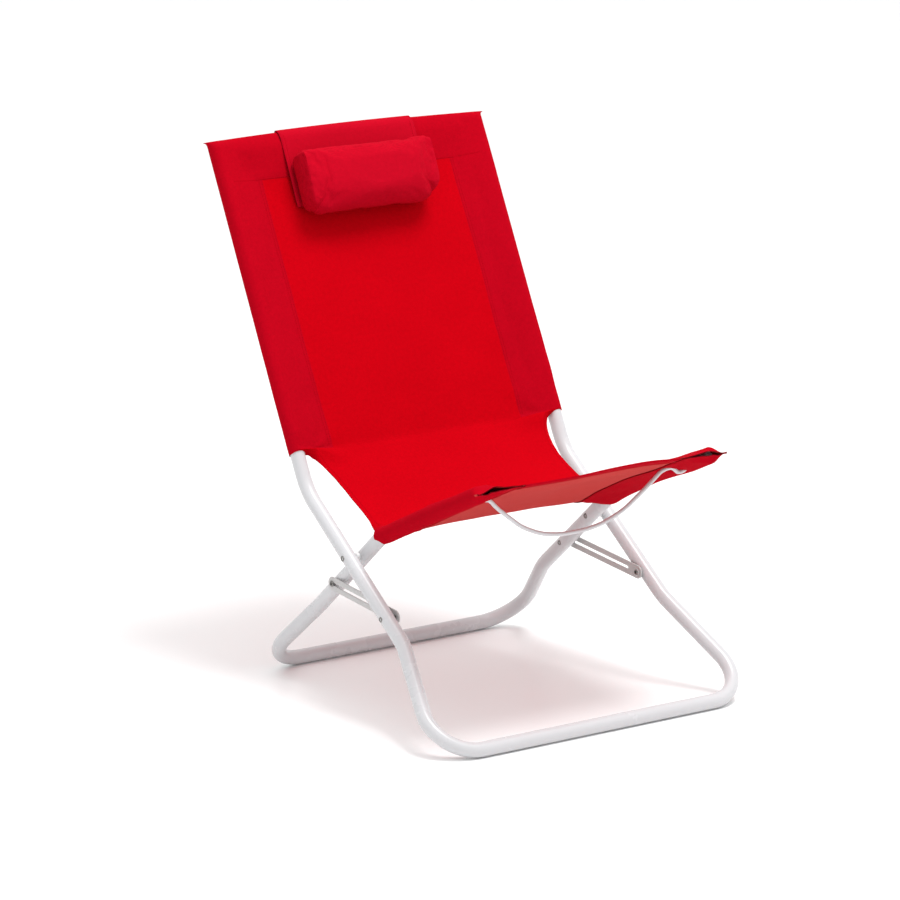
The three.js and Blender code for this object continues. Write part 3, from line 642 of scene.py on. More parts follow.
soft, crisp = smooth_poly(poly, 9.0), smooth_poly(poly, 3.5)
idx = np.arange(len(poly))
mixw = smooth((idx - (N_BACK + 20)) / 60.0)[:, None]
PATH = crisp * (1 - mixw) + soft * mixw
L = np.concatenate([[0], np.cumsum(np.linalg.norm(np.diff(PATH, axis=0), axis=1))])
TAN = np.gradient(PATH, axis=0)
TAN /= np.linalg.norm(TAN, axis=1)[:, None]
NOR = np.stack([TAN[:, 1], -TAN[:, 0]], 1)           # out of the front of the back, out of the top of the seat
if NOR[0] @ BF < 0:
    NOR = -NOR
L_SB, L_SR, L_END = L[N_BACK], L[N_RUN], L[-1]

def at(l):
    """Centreline point and normal at arc length l from the hem top."""
    p = np.array([np.interp(l, L, PATH[:, 0]), np.interp(l, L, PATH[:, 1])])
    n = unit([np.interp(l, L, NOR[:, 0]), np.interp(l, L, NOR[:, 1])])
    return p, n

def pocket_front(x, xt, seam, rc=RC):
    """Height over the mid plane of the cloth from a seam over a tube at xt."""
    x = abs(x)
    if x <= seam:
        return 0.0
    d = xt - seam
    a = math.asin(rc / d)
    xtan = xt - rc * math.sin(a)
    if x <= xtan:
        return (x - seam) * math.tan(a)
    q = rc * rc - (x - xt) ** 2
    return math.sqrt(q) if q > 0 else 0.0

# half width of the free edge, from SB to SR, by arc length past SB
EDGE_L = np.array([0, 2.0, 4.5, 9, 16, 26, 40, 58, 80, 105, 130, 155, 172, 184, 192, 197])
EDGE_W = np.array([BX, 226, 215, 209.5, 205.5, 201.5, 197, 193, 190.5, 190, 190.5, 193, 197, 201.5, 206.5, SX])
EDGE_L = EDGE_L * (L_SR - L_SB) / EDGE_L[-1]

def half_width(l):
    if l <= L_SB:
        return BX
    if l >= L_SR:
        return SX
    return float(np.interp(l - L_SB, EDGE_L, EDGE_W))

# closing of the pockets at the top hem and opening at the front mouth
def close_top(v):
    t = max(0.0, min(1.0, v / 13.0))
    return max(0.09, math.sqrt(max(0.0, 1 - (1 - t) ** 2)))

def mouth(s, under=False):
    t = smooth((s - 265.0) / (S_FRONT - 265.0))
    return 1.0 - (0.90 if under else 0.44) * float(t)

# the wire bow pushes up into the sleeve's rear layer where its ends go in
BOW_S = float((np.array([BOW_Y, BOW_Z]) - SR) @ RD)
_bx = bow_path[:, 0] * 1000
_bh = np.array([float((np.array([q[1] * 1000 - YS, q[2] * 1000]) - SR) @ RU) for q in bow_path])
def wire_top(x):
    """Height over the rail's axis plane of the top of the wire at x."""
    return float(np.interp(x, _bx, _bh)) + 3.0
def dent(x, s, h, upper):
    ax = abs(x)
    if ax < 138 or ax > 200:
        return h
    w = math.exp(-((s - BOW_S) / 9.0) ** 4) * float(smooth((ax - 138) / 10.0)) * (1 - float(smooth((ax - 184) / 10.0)))
    if w < 1e-3:
        return h
    need = wire_top(x) + (1.9 if upper else 0.7)
    if x < 0 and not upper:
        return h
    return h + w * max(0.0, need - h)

def hem_bar(v):
    """Height of the front layer over the spreader bar in the top hem."""
    r = BAR_R + 0.2 + TH / 2
    if v < BAR_V:
        t = max(0.0, v) / BAR_V
        return 0.75 + (r - 0.75) * math.sqrt(max(0.0, 1 - (1 - t) ** 2)) ** 1.0
    t = min(1.0, (v - BAR_V) / (HEM_D - BAR_V))
    return (r - 0.7) * (1 - t) * (1 - 0.25 * t) + 0.7 if t < 1 else 0.0

def crown(x):
    return 4.0 * (1 - (x / BX) ** 2) if abs(x) < BX else 0.0

def wob(x, y, z, seed, scale):
    return noise.noise(Vector((x / scale + seed * 13.7, y / scale - seed * 7.1, z / scale + seed * 3.3)))

def ripple(x, l, ax):
    """Tension folds, seam puckers and slack, along the cloth's normal, in mm. ax, the distance across the unrolled
    cloth, is not used.
    """
    s = 1 if x >= 0 else -1
    h = 0.0
    # broad slack
    h += 2.2 * wob(x, l, 0, 1, 150) + 1.1 * wob(x, l, 0, 2, 62) + 0.5 * wob(x * 0.6, l * 1.6, 0, 12, 34)
    # seam puckers
    seam = BSEAM if l < L_SB else SSEAM if l > L_SR else None
    if seam is not None:
        d = abs(abs(x) - seam)
        h += 0.42 * math.exp(-d / 9.0) * wob(l, s * 40, 0, 3, 9) + 0.30 * math.exp(-d / 20.0) * wob(l, s * 70 + d * 0.3, 0, 4, 17)
    # loose folds of the sleeves, mostly along the tubes
    if seam is not None and abs(x) > seam:
        w = float(smooth((abs(x) - seam) / 14.0))
        h += w * (3.6 * wob(abs(x) * 2.2, l * 0.5, s * 50, 8, 60) + 1.8 * wob(abs(x) * 2.0, l * 0.8, s * 50, 9, 30))
        if l < 120:
            h += w * 3.4 * math.exp(-l / 70.0) * wob(abs(x) + l * 0.9, l * 0.25, s * 30, 10, 26)
    # hem puckers
    for le in (HEM_D,):
        d = abs(l - le)
        h += 0.35 * math.exp(-d / 9.0) * wob(x, 11, 0, 5, 10)
    # folds pulling from the sleeve ends into the valley
    for lc, xc, a in ((L_SB, 206, 2.8), (L_SR, 190, 2.6)):
        dx, dl = abs(x) - xc, l - lc
        r = math.hypot(dx, dl)
        ang = math.atan2(dl, -dx)
        h += a * math.exp(-r / 48.0) * min(1.0, r / 14.0) * math.sin(ang * 7.0 + 1.3 * s + 2.2 * wob(x, l, 0, 6, 60)) * 0.6
    # soft crossways creases under the hem, by the corners
    d = l - 34
    h += 2.4 * math.exp(-(d / 26.0) ** 2) * smooth((abs(x) - 110) / 60.0) * wob(x, l, 0, 7, 38)
    return h

def clear_of_tube(d, x, xt, front):
    """Beside a tube the cloth may only stand off outwards, so the tube never shows through."""
    w = float(smooth((abs(x) - (xt - 34)) / 16.0))
    o = 0.5 * (d + math.hypot(d, 0.5)) if front else 0.5 * (d - math.hypot(d, 0.5))
    return d * (1 - w) + o * w

def cloth_point(x, l, off):
    p, n = at(l)
    q = p + n * off
    return np.array([x, q[0], q[1]])

# columns of the front layer, from the middle to the outermost line, as (kind, t)
NP, NF, NA, NR = 25, 9, 9, 8
half_cols = [("panel", i / NP) for i in range(NP + 1)] + [("front", i / NF) for i in range(1, NF + 1)] + [("arc", i / NA) for i in range(1, NA + 1)]
wrap_cols = [("rear_arc", i / NA) for i in range(1, NA + 1)] + [("rear", i / NR) for i in range(1, NR + 1)] + [("tuck", i / 2) for i in (1, 2)]

def tangent_angle(xt, seam, rc):
    return math.asin(rc / (xt - seam))

def column(kind, t, where, k, l):
    """Across-position and height for a sleeve row of the back (where 0) or seat (1) with closing factor k. Returns x, height, unrolled distance."""
    xt, seam, xo = (XA, BSEAM, BX) if where == 0 else (XB, SSEAM, SX)
    rc = RC
    a = tangent_angle(xt, seam, rc)
    xtan = xt - rc * math.sin(a)
    flat_len = math.hypot(xtan - seam, rc * math.cos(a))
    arc = rc * (math.pi / 2 + a)
    total = flat_len + arc
    flatx = seam + total                       # outermost if pressed flat
    if kind == "panel":
        return seam * t, 0.0, seam * t
    if kind == "front":
        d = flat_len * t
        x, h = seam + d * math.cos(a), d * math.sin(a)
        u = seam + d
    elif kind == "arc":
        th = (math.pi / 2 + a) * (1 - t)
        x, h = xt + rc * math.cos(th), rc * math.sin(th)
        u = seam + flat_len + arc * t
    elif kind == "rear_arc":
        th = -(math.pi / 2 + a) * t
        x, h = xt + rc * math.cos(th), rc * math.sin(th)
        u = seam + total + arc * t
    elif kind == "rear":
        d = flat_len * (1 - t)
        x, h = seam + d * math.cos(a), -d * math.sin(a)
        h = min(h, -GAP) if t < 1 else -GAP
        u = seam + total + arc + flat_len * t
    else:
        x, h = seam - 7.0 * t, -GAP
        u = seam + 2 * total + 7.0 * t
    if kind != "tuck":
        # pressing flat moves the cloth outwards along its own length
        uu = u if u <= seam + total else 2 * (seam + total) - u
        x = x * k + (seam + (uu - seam)) * (1 - k) if k < 1 else x
        h = h * k
        if kind in ("rear_arc", "rear"):
            h = min(h, -GAP * (1 if kind == "rear" else t))
    return x, h, u

rows = []
v = 0.0
back_rows = [0.0, 1.2, 2.6, 4.2, 6.0, 8.0, 10.2, 13.0, 16.0, 20.0, 24.5, 29.5] + list(np.arange(36, HEM_D - 4, 7.0)) + [HEM_D - 2.5, HEM_D, HEM_D + 2.5]
back_rows += list(np.arange(HEM_D + 9, L_SB - 10, 7.2)) + [L_SB - 7, L_SB - 3.2, L_SB]
valley_rows = [L_SB + d for d in (1.0, 2.0, 3.2, 4.6, 6.5, 9, 12, 16, 21, 27)]
valley_rows += list(np.linspace(L_SB + 34, L_SR - 34, 22)) + [L_SR - d for d in (28, 22, 17, 13, 9.5, 6.5, 4, 2)]
seat_rows = [L_SR + d for d in (0.0, 2.0, 5.0, 9.0)] + list(np.arange(L_SR + 15, L_SR + BOW_S - 14, 7.2)) + [L_SR + BOW_S + d for d in (-13, -10, -7.5, -5, -2.5, 0, 2.5, 5, 7.5, 10, 13)] + list(np.arange(L_SR + BOW_S + 17, L_END - 24, 7.2)) + [L_END - d for d in (22.5, 20, 17.5, 14, 10.5, 7.5, 5, 3, 1.4, 0.0)]

grid_rows = [("back", l) for l in back_rows] + [("valley", l) for l in valley_rows] + [("seat", l) for l in seat_rows]
cols = [(-1, c) for c in reversed(wrap_cols)] + [(-1, c) for c in reversed(half_cols[1:])] + [(1, c) for c in half_cols] + [(1, c) for c in wrap_cols]
NW = len(wrap_cols)

def surface(zone, l, side, kind, t):
    """A mid-surface point of the sling and its unrolled across-position."""
    if zone == "back":
        k = close_top(l)
        x, h, u = column(kind, t, 0, k, l)
        x *= side
        hb = hem_bar(l) if l < HEM_D + 3 else 0.0
        if kind in ("panel", "front", "arc"):
            # the bar's pocket runs out before the sleeves
            fade = 1 - float(smooth((abs(x) - (XA - 34)) / 20.0))
            h = max(h, hb * fade, 0.0) if kind != "arc" else h
        up = crown(x) * max(0.0, 1 - l / 30.0)
        d = ripple(x, l, u) if kind in ("panel", "front") else ripple(x, l, u) * (1 - 0.65 * (t if kind == "arc" else 1.0))
        d = clear_of_tube(d, x, XA, True)
        if d < 0 and kind in ("panel", "front"):   # the spreader bar holds the front layer out
            d *= float(smooth((l - 38) / 14.0))
        if l < 14:
            d *= l / 14.0
        sgn = 1
        if kind in ("rear", "tuck", "rear_arc"):
            d = ripple(x, l, u) * (0.35 + 0.65 * (t if kind == "rear" else 1.0 if kind == "tuck" else 0.0))
            d = clear_of_tube(d, x, XA, False)
            if l < 14:
                d *= l / 14.0
        p = cloth_point(x, l, h + d)
        p[1:] += BU * up
        return p, u
    if zone == "seat":
        s = l - L_SR
        k = mouth(s, kind in ("rear_arc", "rear", "tuck"))
        x, h, u = column(kind, t, 1, k, l)
        if kind == "rear_arc":
            # the lower half of the pocket starts at the outer line of the upper half
            ku = mouth(s)
            xu, hu, _ = column("arc", 1.0, 1, ku, l)
            f = (1 - t) ** 2
            x, h = x * (1 - f) + xu * f, h * (1 - f) + hu * f
        lip = 3.4 * float(smooth((s - 262.0) / 20.0)) * float(smooth((abs(x) - SSEAM + 6) / 14.0)) if kind in ("rear", "tuck") else 3.4 * float(smooth((s - 262.0) / 20.0)) * (1 - t) if kind == "rear_arc" else 0.0
        if kind in ("rear", "tuck"):
            lip *= 0.05 + 0.95 * float(smooth((abs(x) - 184) / 18.0))
        if kind in ("panel", "front", "arc"):
            h *= 1 - 0.72 * float(smooth((s - 264.0) / 20.0)) * float(smooth((abs(x) - 184) / 24.0))
        droop = -4.0 * float(smooth((s - 262) / 24.0)) * float(smooth((abs(x) - 165) / 50.0))
        x *= side
        base = -2.6 * float(smooth((abs(x) - 60) / 95.0))      # the middle lies a little above the rail plane
        d = ripple(x, l, u) * (1.0 if kind in ("panel", "front") else 0.35 if kind in ("arc", "rear_arc") else 0.35 + 0.65 * (t if kind == "rear" else 1.0))
        d = clear_of_tube(d, x, XB, kind in ("panel", "front", "arc"))
        wave = 0.9 * float(smooth((s - 235) / 50.0)) * math.sin(x / 38.0 + 0.6) * (1 - float(smooth((abs(x) - 120) / 30.0)))
        hh = h + base + d + wave + droop + lip
        hh = dent(x, s, hh, kind in ("panel", "front", "arc")) if kind != "arc" else hh
        return cloth_point(x, l, hh + rail_arch(x, s)), u
    # valley: the columns of the front layer drawn in to the free edge
    w = half_width(l)
    f = float(smooth((l - L_SB) / (L_SR - L_SB)))
    xb, hb, ub = column(kind, t, 0, 1.0, l)
    xs, hs, us = column(kind, t, 1, 1.0, l)
    kb = 1 - float(smooth((l - L_SB) / 34.0))
    ks = 1 - float(smooth((L_SR - l) / 40.0))
    xo = BX * (1 - f) + SX * f
    xn = xb * (1 - f) + xs * f
    x = xn * w / xo
    h = hb * kb + hs * ks
    if w < BX and kb > 0:
        h = hb * kb * (1 if kind != "arc" else 1) + hs * ks
    base = -2.6 * float(smooth((abs(x) - 60) / 95.0)) * ks
    curl = -1.2 * math.exp(-(w - abs(x)) / 10.0)
    d = ripple(side * x, l, ub)
    p = cloth_point(side * x, l, h + base + d + curl * (1 - kb) * (1 - ks))
    return p, ub * (1 - f) + us * f

verts, uvs, ids = [], [], {}
for i, (zone, l) in enumerate(grid_rows):
    for j, (side, (kind, t)) in enumerate(cols):
        wrapped = kind in ("rear_arc", "rear", "tuck")
        if zone == "valley" and wrapped:
            continue
        p, u = surface(zone, l, side, kind, t)
        ids[i, j] = len(verts)
        verts.append(p)
        uvs.append((side * u / 1000, l / 1000))
faces = []
for i in range(len(grid_rows) - 1):
    for j in range(len(cols) - 1):
        q = [ids.get((i, j)), ids.get((i + 1, j)), ids.get((i + 1, j + 1)), ids.get((i, j + 1))]
        if None in q:
            continue
        faces.append(tuple(q))

# top hem: over the top edge and down the back; front hem: under the front edge
def hem_rows(zone, edge_row, lengths, off_fn, limit, up_fn):
    prev = [ids.get((edge_row, j)) for j in range(len(cols))]
    first = True
    for n, (dl, off) in enumerate(lengths):
        cur = []
        for j, (side, (kind, t)) in enumerate(cols):
            base = ids.get((edge_row, j))
            if base is None or kind in ("rear_arc", "rear", "tuck") or abs(verts[base][0]) > limit:
                cur.append(None)
                continue
            x = verts[base][0]
            cur.append(len(verts))
            verts.append(off_fn(x, kind, t, side, dl, off))
            uvs.append((uvs[base][0], uvs[base][1] + (-dl if zone == "back" else dl) / 1000))
        for j in range(len(cols) - 1):
            q = [cur[j], prev[j], prev[j + 1], cur[j + 1]] if zone == "back" else [prev[j], cur[j], cur[j + 1], prev[j + 1]]
            if None in q:
                continue
            faces.append(tuple(q))
        prev = cur

def top_back(x, kind, t, side, dl, off):
    """Rear layer of the top hem, dl down from the edge, behind the sleeve's own rear layer."""
    k = close_top(dl)
    _, h, _ = column(kind, t, 0, k, dl)
    fade = 1 - float(smooth((abs(x) - (XA - 34)) / 20.0))
    hb = hem_bar(dl) * fade if dl < HEM_D - 1 else 0.7 * fade
    back = max(abs(h) if kind != "panel" else 0.0, hb)
    # across the sleeves it must clear the sleeve's rear layer as well
    extra = GAP * float(smooth((abs(x) - (BSEAM - 14)) / 7.0))
    xx = x
    d = clear_of_tube(ripple(x, dl, x), x, XA, False)
    if d > 0:                      # the spreader bar holds the rear layer out
        d *= float(smooth((dl - 38) / 14.0))
    if dl < 14:
        d *= dl / 14.0
    p = cloth_point(xx, dl, -(max(back, 0.62) + extra * min(1.0, dl / 3.0) + off) + d)
    p[1:] += BU * crown(x) * max(0.0, 1 - dl / 30.0)
    return p

def front_under(x, kind, t, side, dl, off):
    l = L_END - dl
    s = l - L_SR
    base = -2.6 * float(smooth((abs(x) - 60) / 95.0))
    d = ripple(x, l, x)
    wave = 0.9 * float(smooth((s - 235) / 50.0)) * math.sin(x / 38.0 + 0.6) * (1 - float(smooth((abs(x) - 120) / 30.0)))
    return cloth_point(x, l, base + d + wave - off + rail_arch(x, s))

hem_rows("back", 0, [(1.2, 0.0), (2.6, 0.0), (4.2, 0.0), (6.0, 0.0), (8.0, 0.0), (10.2, 0), (13.0, 0), (16, 0), (20, 0), (24.5, 0), (29.5, 0), (36, 0), (43, 0), (50, 0), (57, 0), (HEM_D - 2.5, 0), (HEM_D, 0.55), (HEM_D + 4, 0.55)], top_back, XA - 3, None)
hem_rows("seat", len(grid_rows) - 1, [(0.6, GAP), (5, GAP), (10.5, GAP), (14, GAP), (17.5, GAP), (20, GAP), (22.5, GAP), (24.0, GAP)], front_under, SSEAM - 8, None)

verts = np.array(verts)
verts[:, 1] += YS
verts /= 1000.0

def normals_of(verts, faces):
    n = np.zeros_like(verts)
    f = np.array(faces)
    a, b, c, d = verts[f[:, 0]], verts[f[:, 1]], verts[f[:, 2]], verts[f[:, 3]]
    fn = np.cross(c - a, d - b)
    for k in range(4):
        np.add.at(n, f[:, k], fn)
    return n / np.maximum(np.linalg.norm(n, axis=1), 1e-12)[:, None]

def sheet_mesh(name, verts, faces, uvs, mats, th):
    """Give a grid its thickness: outer faces, inner faces and the cut edge."""
    n = normals_of(verts, faces)
    N = len(verts)
    V2 = np.vstack([verts + n * th / 2, verts - n * th / 2])
    F2 = [tuple(f) for f in faces] + [tuple(N + i for i in reversed(f)) for f in faces]
    mi = [0] * len(faces) + [1] * len(faces)
    edges = {}
    for f in faces:
        for a, b in zip(f, f[1:] + f[:1]):
            edges[(a, b)] = edges.get((a, b), 0) + 1
    # the cut edge takes the third material, painted near-black as shade
    for (a, b) in edges:
        if (b, a) not in edges:
            F2.append((b, a, N + a, N + b))
            mi.append(2)
    return make_object(name, V2, F2, mats, mi, np.vstack([uvs, uvs]))

used = sorted({i for f in faces for i in f})
remap = {o: n for n, o in enumerate(used)}
verts, uvs = verts[used], np.array(uvs)[used]
faces = [tuple(remap[i] for i in f) for f in faces]
nn = normals_of(verts, faces)
# the face side must look out of the front of the back
mid = ids[len(back_rows) // 2, len(cols) // 2]
if nn[remap[mid]] @ np.array([0, BF[0], BF[1]]) < 0:
    faces = [tuple(reversed(f)) for f in faces]
sling = sheet_mesh("sling_cloth", verts, faces, uvs, [M_CLOTH, M_CLOTH_BACK, M_CLOTH_SHADE_EDGE], TH / 1000)
# sleeves and hems are two layers deep; they get a deeper red than the single panel, painted shade for their darker look
# under the light
sling.data.materials.append(M_CLOTH_SHADE_DOUBLED)
_uv = sling.data.uv_layers[0].data
# faces of the sleeves and hems take the deeper red of painted shade
for p in sling.data.polygons:
    if p.material_index:
        continue
    uu = sum(abs(_uv[i].uv[0]) for i in p.loop_indices) / len(p.loop_indices) * 1000
    ll = sum(_uv[i].uv[1] for i in p.loop_indices) / len(p.loop_indices) * 1000
    if (ll < L_SB and (uu > BSEAM - 7 or ll < HEM_D)) or (ll > L_SR and (uu > SSEAM - 7 or ll > L_END - 24)):
        p.material_index = 3
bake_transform(sling)
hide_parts("sling_back", "sling_seat", "sling_valley")

# ------------------------------------------------------------------ stitches
def stitch_row(name, pts, normals, mat, pitch=3.6, length=2.7, r=0.32, lift=0.12):
    """A row of separate thread stitches along pts (metres), each lying on the cloth with its ends pulled in."""
    pts, normals = np.asarray(pts, float), np.asarray(normals, float)
    d = np.concatenate([[0], np.cumsum(np.linalg.norm(np.diff(pts, axis=0), axis=1))])
    n = int(d[-1] / (pitch / 1000))
    verts, faces = [], []
    prof = [(-0.5, 0.05, -0.35), (-0.42, 0.75, -0.1), (0.0, 1.0, 0.25), (0.42, 0.75, -0.1), (0.5, 0.05, -0.35)]
    K = 5
    for i in range(n):
        c = (i + 0.5) * pitch / 1000
        p = np.array([np.interp(c, d, pts[:, k]) for k in range(3)])
        q = np.array([np.interp(c + 0.001, d, pts[:, k]) for k in range(3)])
        nn = unit([np.interp(c, d, normals[:, k]) for k in range(3)])
        t = q - p
        if np.linalg.norm(t) < 1e-9:
            continue
        t = unit(t)
        b = unit(np.cross(t, nn))
        base = len(verts)
        for a, rr, h in prof:
            o = p + t * a * length / 1000 + nn * (lift + h * r) / 1000
            for k in range(K):
                an = 2 * math.pi * k / K
                verts.append(o + (b * math.cos(an) + nn * math.sin(an)) * rr * r / 1000)
        for m in range(len(prof) - 1):
            for k in range(K):
                k2 = (k + 1) % K
                faces.append((base + m * K + k, base + m * K + k2, base + (m + 1) * K + k2, base + (m + 1) * K + k))
        faces.append(tuple(base + k for k in reversed(range(K))))
        faces.append(tuple(base + (len(prof) - 1) * K + k for k in range(K)))
    o = make_object(name, verts, faces, [mat])
    bm = bmesh.new()
    bm.from_mesh(o.data)
    bmesh.ops.recalc_face_normals(bm, faces=bm.faces)
    bm.to_mesh(o.data)
    bm.free()
    return o

from mathutils.bvhtree import BVHTree
bpy.context.view_layer.update()
sling_tree = BVHTree.FromPolygons([v.co.copy() for v in sling.data.vertices], [tuple(p.vertices) for p in sling.data.polygons])

def on_sling(points, direction):
    """Drop points (metres) onto the sling along a direction (y, z), returning surface points and normals."""
    out, nor = [], []
    d = Vector((0, direction[0], direction[1])).normalized()
    for p in points:
        o = Vector(p) - d * 0.05
        h = sling_tree.ray_cast(o, d, 0.1)
        if h[0] is None:
            continue
        n = h[1] if h[1].dot(d) < 0 else -h[1]
        out.append(np.array(h[0]))
        nor.append(np.array(n))
    return out, nor

def row_at(xs, ls):
    pts = []
    for x, l in zip(xs, ls):
        p, n = at(l)
        pts.append((x / 1000, (p[0] + YS) / 1000, p[1] / 1000))
    return pts

sling_threads = []
def sew(name, xs, ls, side_dir):
    pts, nor = on_sling(row_at(xs, ls), side_dir)
    if len(pts) > 3:
        o = stitch_row(name, pts, nor, M_THREAD)
        sling_threads.append(o)

for s, side in ((-1, "left"), (1, "right")):
    ls = np.arange(HEM_D + 1, L_SB - 3, 2.0)
    for off in (1.2, 5.2):
        sew(f"back_sleeve_thread_{side}_{int(off)}_front", [s * (BSEAM - off)] * len(ls), ls, -BF)
        sew(f"back_sleeve_thread_{side}_{int(off)}_rear", [s * (BSEAM - off)] * len(ls), ls, BF)
    ls = np.arange(L_SR + 4, L_END - 3, 2.0)
    for off in (1.2, 5.2):
        sew(f"seat_sleeve_thread_{side}_{int(off)}_top", [s * (SSEAM - off)] * len(ls), ls, -RU)
        sew(f"seat_sleeve_thread_{side}_{int(off)}_under", [s * (SSEAM - off)] * len(ls), ls, RU)
xs = np.arange(-XA + 8, XA - 8, 2.0)
sew("top_hem_thread_front", xs, [HEM_D - 1.2] * len(xs), -BF)
sew("top_hem_thread_rear", xs, [HEM_D + 1.0] * len(xs), BF)
xs = np.arange(-SSEAM + 9, SSEAM - 9, 2.0)
sew("front_hem_thread_top", xs, [L_END - 21.0] * len(xs), -RU)
sew("front_hem_thread_under", xs, [L_END - 21.0] * len(xs), RU)
for s, side in ((-1, "left"), (1, "right")):
    ls = np.arange(L_SB + 6, L_SR - 5, 1.5)
    xs = [s * (half_width(l) - 6.5) for l in ls]
    mid_n = (NOR[(N_BACK + N_RUN) // 2])
    sew(f"edge_hem_thread_{side}_top", xs, ls, -mid_n)
    sew(f"edge_hem_thread_{side}_under", xs, ls, mid_n)
for o in sling_threads:
    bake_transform(o)

# ------------------------------------------------------------------ headrest: the flap over the top hem
FLAP_W = 118.0
HEAD_X = -4.5                                # the headrest hangs a little to one side
PIL_W, PIL_TOP, PIL_BOT, PIL_T = 117.0, 33.0, 139.0, 49.0
FL_TH = 1.1

def front_of_hem(x, v):
    """Outer front face of the sling near the top, as an offset from the mid plane."""
    return hem_bar(v) + TH / 2 if v < HEM_D else TH / 2 + 0.3

def flap_profile(x):
    """(y, z) of the flap's mid surface at x, from its rear lower edge over the hem to its front lower edge, with the
    (v, offset) pairs it is drawn from.
    """
    up = crown(x) + 1.0
    pts = []
    for v in (150, 140, 128, 114, 100, 86, 74, 66, 58, 50, 42, 34, 27, 20, 14, 9, 5, 2):
        off = -(max(hem_bar(v), 0.7) + GAP + TH / 2 + FL_TH / 2 + 0.7 + (0.9 if v > 66 else 0.0))
        pts.append((v, off))
    pts.append((-0.6, -1.9))
    pts.append((-1.9, -0.9))
    pts.append((-2.1, 0.2))
    pts.append((-1.6, 1.3))
    for v in (0.3, 3, 6, 10, 15, 20, 26, 33, 41, 50, 60, 70, 80, 90, 100, 108, 114):
        r = BAR_R + 0.2 + TH
        lead = (r + 1.0) * min(1.0, math.sqrt(max(0.0, 1 - (1 - min(v, 20) / 20.0) ** 2)) + 0.14)
        if v > 20:
            lead = (r + 1.0) + (v - 20) * (2.6 - (r + 1.0)) / (141.5 - 20)
        pts.append((v, lead + FL_TH / 2 + 0.15))
    out = []
    for v, off in pts:
        shift = up * max(0.0, 1 - v / 30.0) if v > 0 else up
        q = np.array(HEM_TOP) - BU * v + BF * off + BU * shift
        out.append(q)
    return np.array(out), pts

fx = list(np.linspace(-FLAP_W, FLAP_W, 41))
fverts, fuvs = [], []
for i, x in enumerate(fx):
    prof, raw = flap_profile(x)
    acc = 0.0
    for j, q in enumerate(prof):
        if j:
            acc += float(np.linalg.norm(prof[j] - prof[j - 1]))
        v, off = raw[j]
        d = 0.35 * wob(x, acc, 0, 21, 34) + 0.25 * wob(x, acc, 0, 22, 12)
        edge = math.exp(-(FLAP_W - abs(x)) / 7.0)
        if off > 0 and v > 4:
            d = abs(d) + 1.6 * edge * float(smooth((v - 10) / 60.0)) * (0.6 + 0.5 * wob(0, acc, x, 23, 40))
        elif v > 4:
            d = -abs(d) * 0.8 - 0.5 * edge
        else:
            d = 0.15 * d
        nrm = BF
        q = q + nrm * d
        xx = x * (1 - 0.006 * float(smooth((v - 60) / 80.0)))
        fverts.append(((xx + HEAD_X) / 1000, (q[0] + YS) / 1000, q[1] / 1000))
        fuvs.append((x / 1000, acc / 1000))
M = len(prof)
ffaces = []
for i in range(len(fx) - 1):
    for j in range(M - 1):
        ffaces.append((i * M + j, i * M + j + 1, (i + 1) * M + j + 1, (i + 1) * M + j))
fverts = np.array(fverts)
fn = normals_of(fverts, ffaces)
probe = (len(fx) // 2) * M + M - 6
if fn[probe] @ np.array([0, BF[0], BF[1]]) < 0:
    ffaces = [tuple(reversed(f)) for f in ffaces]
flap_area = sum(0.5 * np.linalg.norm(np.cross(fverts[f[2]] - fverts[f[0]], fverts[f[3]] - fverts[f[1]])) for f in ffaces)
flap = sheet_mesh("headrest_flap_cloth", fverts, ffaces, np.array(fuvs), [M_PILLOW_FLAP, M_CLOTH_BACK, M_CLOTH_SHADE_EDGE], FL_TH / 1000)
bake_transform(flap)
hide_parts("headrest_flap_front", "headrest_flap_rear")

# ------------------------------------------------------------------ headrest pillow: a boxed bolster, inflated as cloth
def pillow_shape():
    """A closed quad box with rounded corners, (a, b, c) = across, down, out of the back, in mm from its middle."""
    na, nb, nc = 58, 28, 13
    W2, H2, T2 = PIL_W - 5.0, (PIL_BOT - PIL_TOP) / 2 - 4.5, PIL_T / 2 - 5.0
    bm = bmesh.new()
    key = {}
    def vert(i, j, k):
        if (i, j, k) not in key:
            a, b, c = -1 + 2 * i / na, -1 + 2 * j / nb, -1 + 2 * k / nc
            A, B, C = a * W2, b * H2, c * T2
            # rounded long edges: a D section, fuller at the front
            rr = 32.0 if B > 0 and C > 0 else 15.0
            bx, cx = H2 - rr, T2 - min(rr, T2 - 1)
            r2 = min(rr, T2 - 1)
            db, dc = max(0.0, abs(B) - bx), max(0.0, abs(C) - cx)
            if db > 0 and dc > 0:
                m = max(db / rr, dc / r2)
                h = math.hypot(db / rr, dc / r2)
                B = math.copysign(bx + db / h * m, B)
                C = math.copysign(cx + dc / h * m, C)
            # lower corners of the outline are rounder than the upper ones
            ra = (38.0 if A > 0 else 24.0) if B > 0 else 9.0
            da, db2 = max(0.0, abs(A) - (W2 - ra)), max(0.0, abs(B) - (H2 - ra))
            if da > 0 and db2 > 0:
                m, h = max(da, db2), math.hypot(da, db2)
                A = math.copysign(W2 - ra + da / h * m, A)
                B = math.copysign(H2 - ra + db2 / h * m, B)
            key[i, j, k] = bm.verts.new((A, B, C))
        return key[i, j, k]
    def quad(f, n1, n2):
        for p in range(n1):
            for q in range(n2):
                vs = [f(p, q), f(p + 1, q), f(p + 1, q + 1), f(p, q + 1)]
                bm.faces.new([vert(*v) for v in vs])
    for k in (0, nc):
        quad(lambda p, q: (p, q, k), na, nb)
    for j in (0, nb):
        quad(lambda p, q: (p, j, q), na, nc)
    for i in (0, na):
        quad(lambda p, q: (i, p, q), nb, nc)
    bmesh.ops.recalc_face_normals(bm, faces=bm.faces)
    seam = [v for (i, j, k), v in key.items() if i in (0, na) and (j in (0, nb) or k in (0, nc))]
    return bm, seam, key, (na, nb, nc)

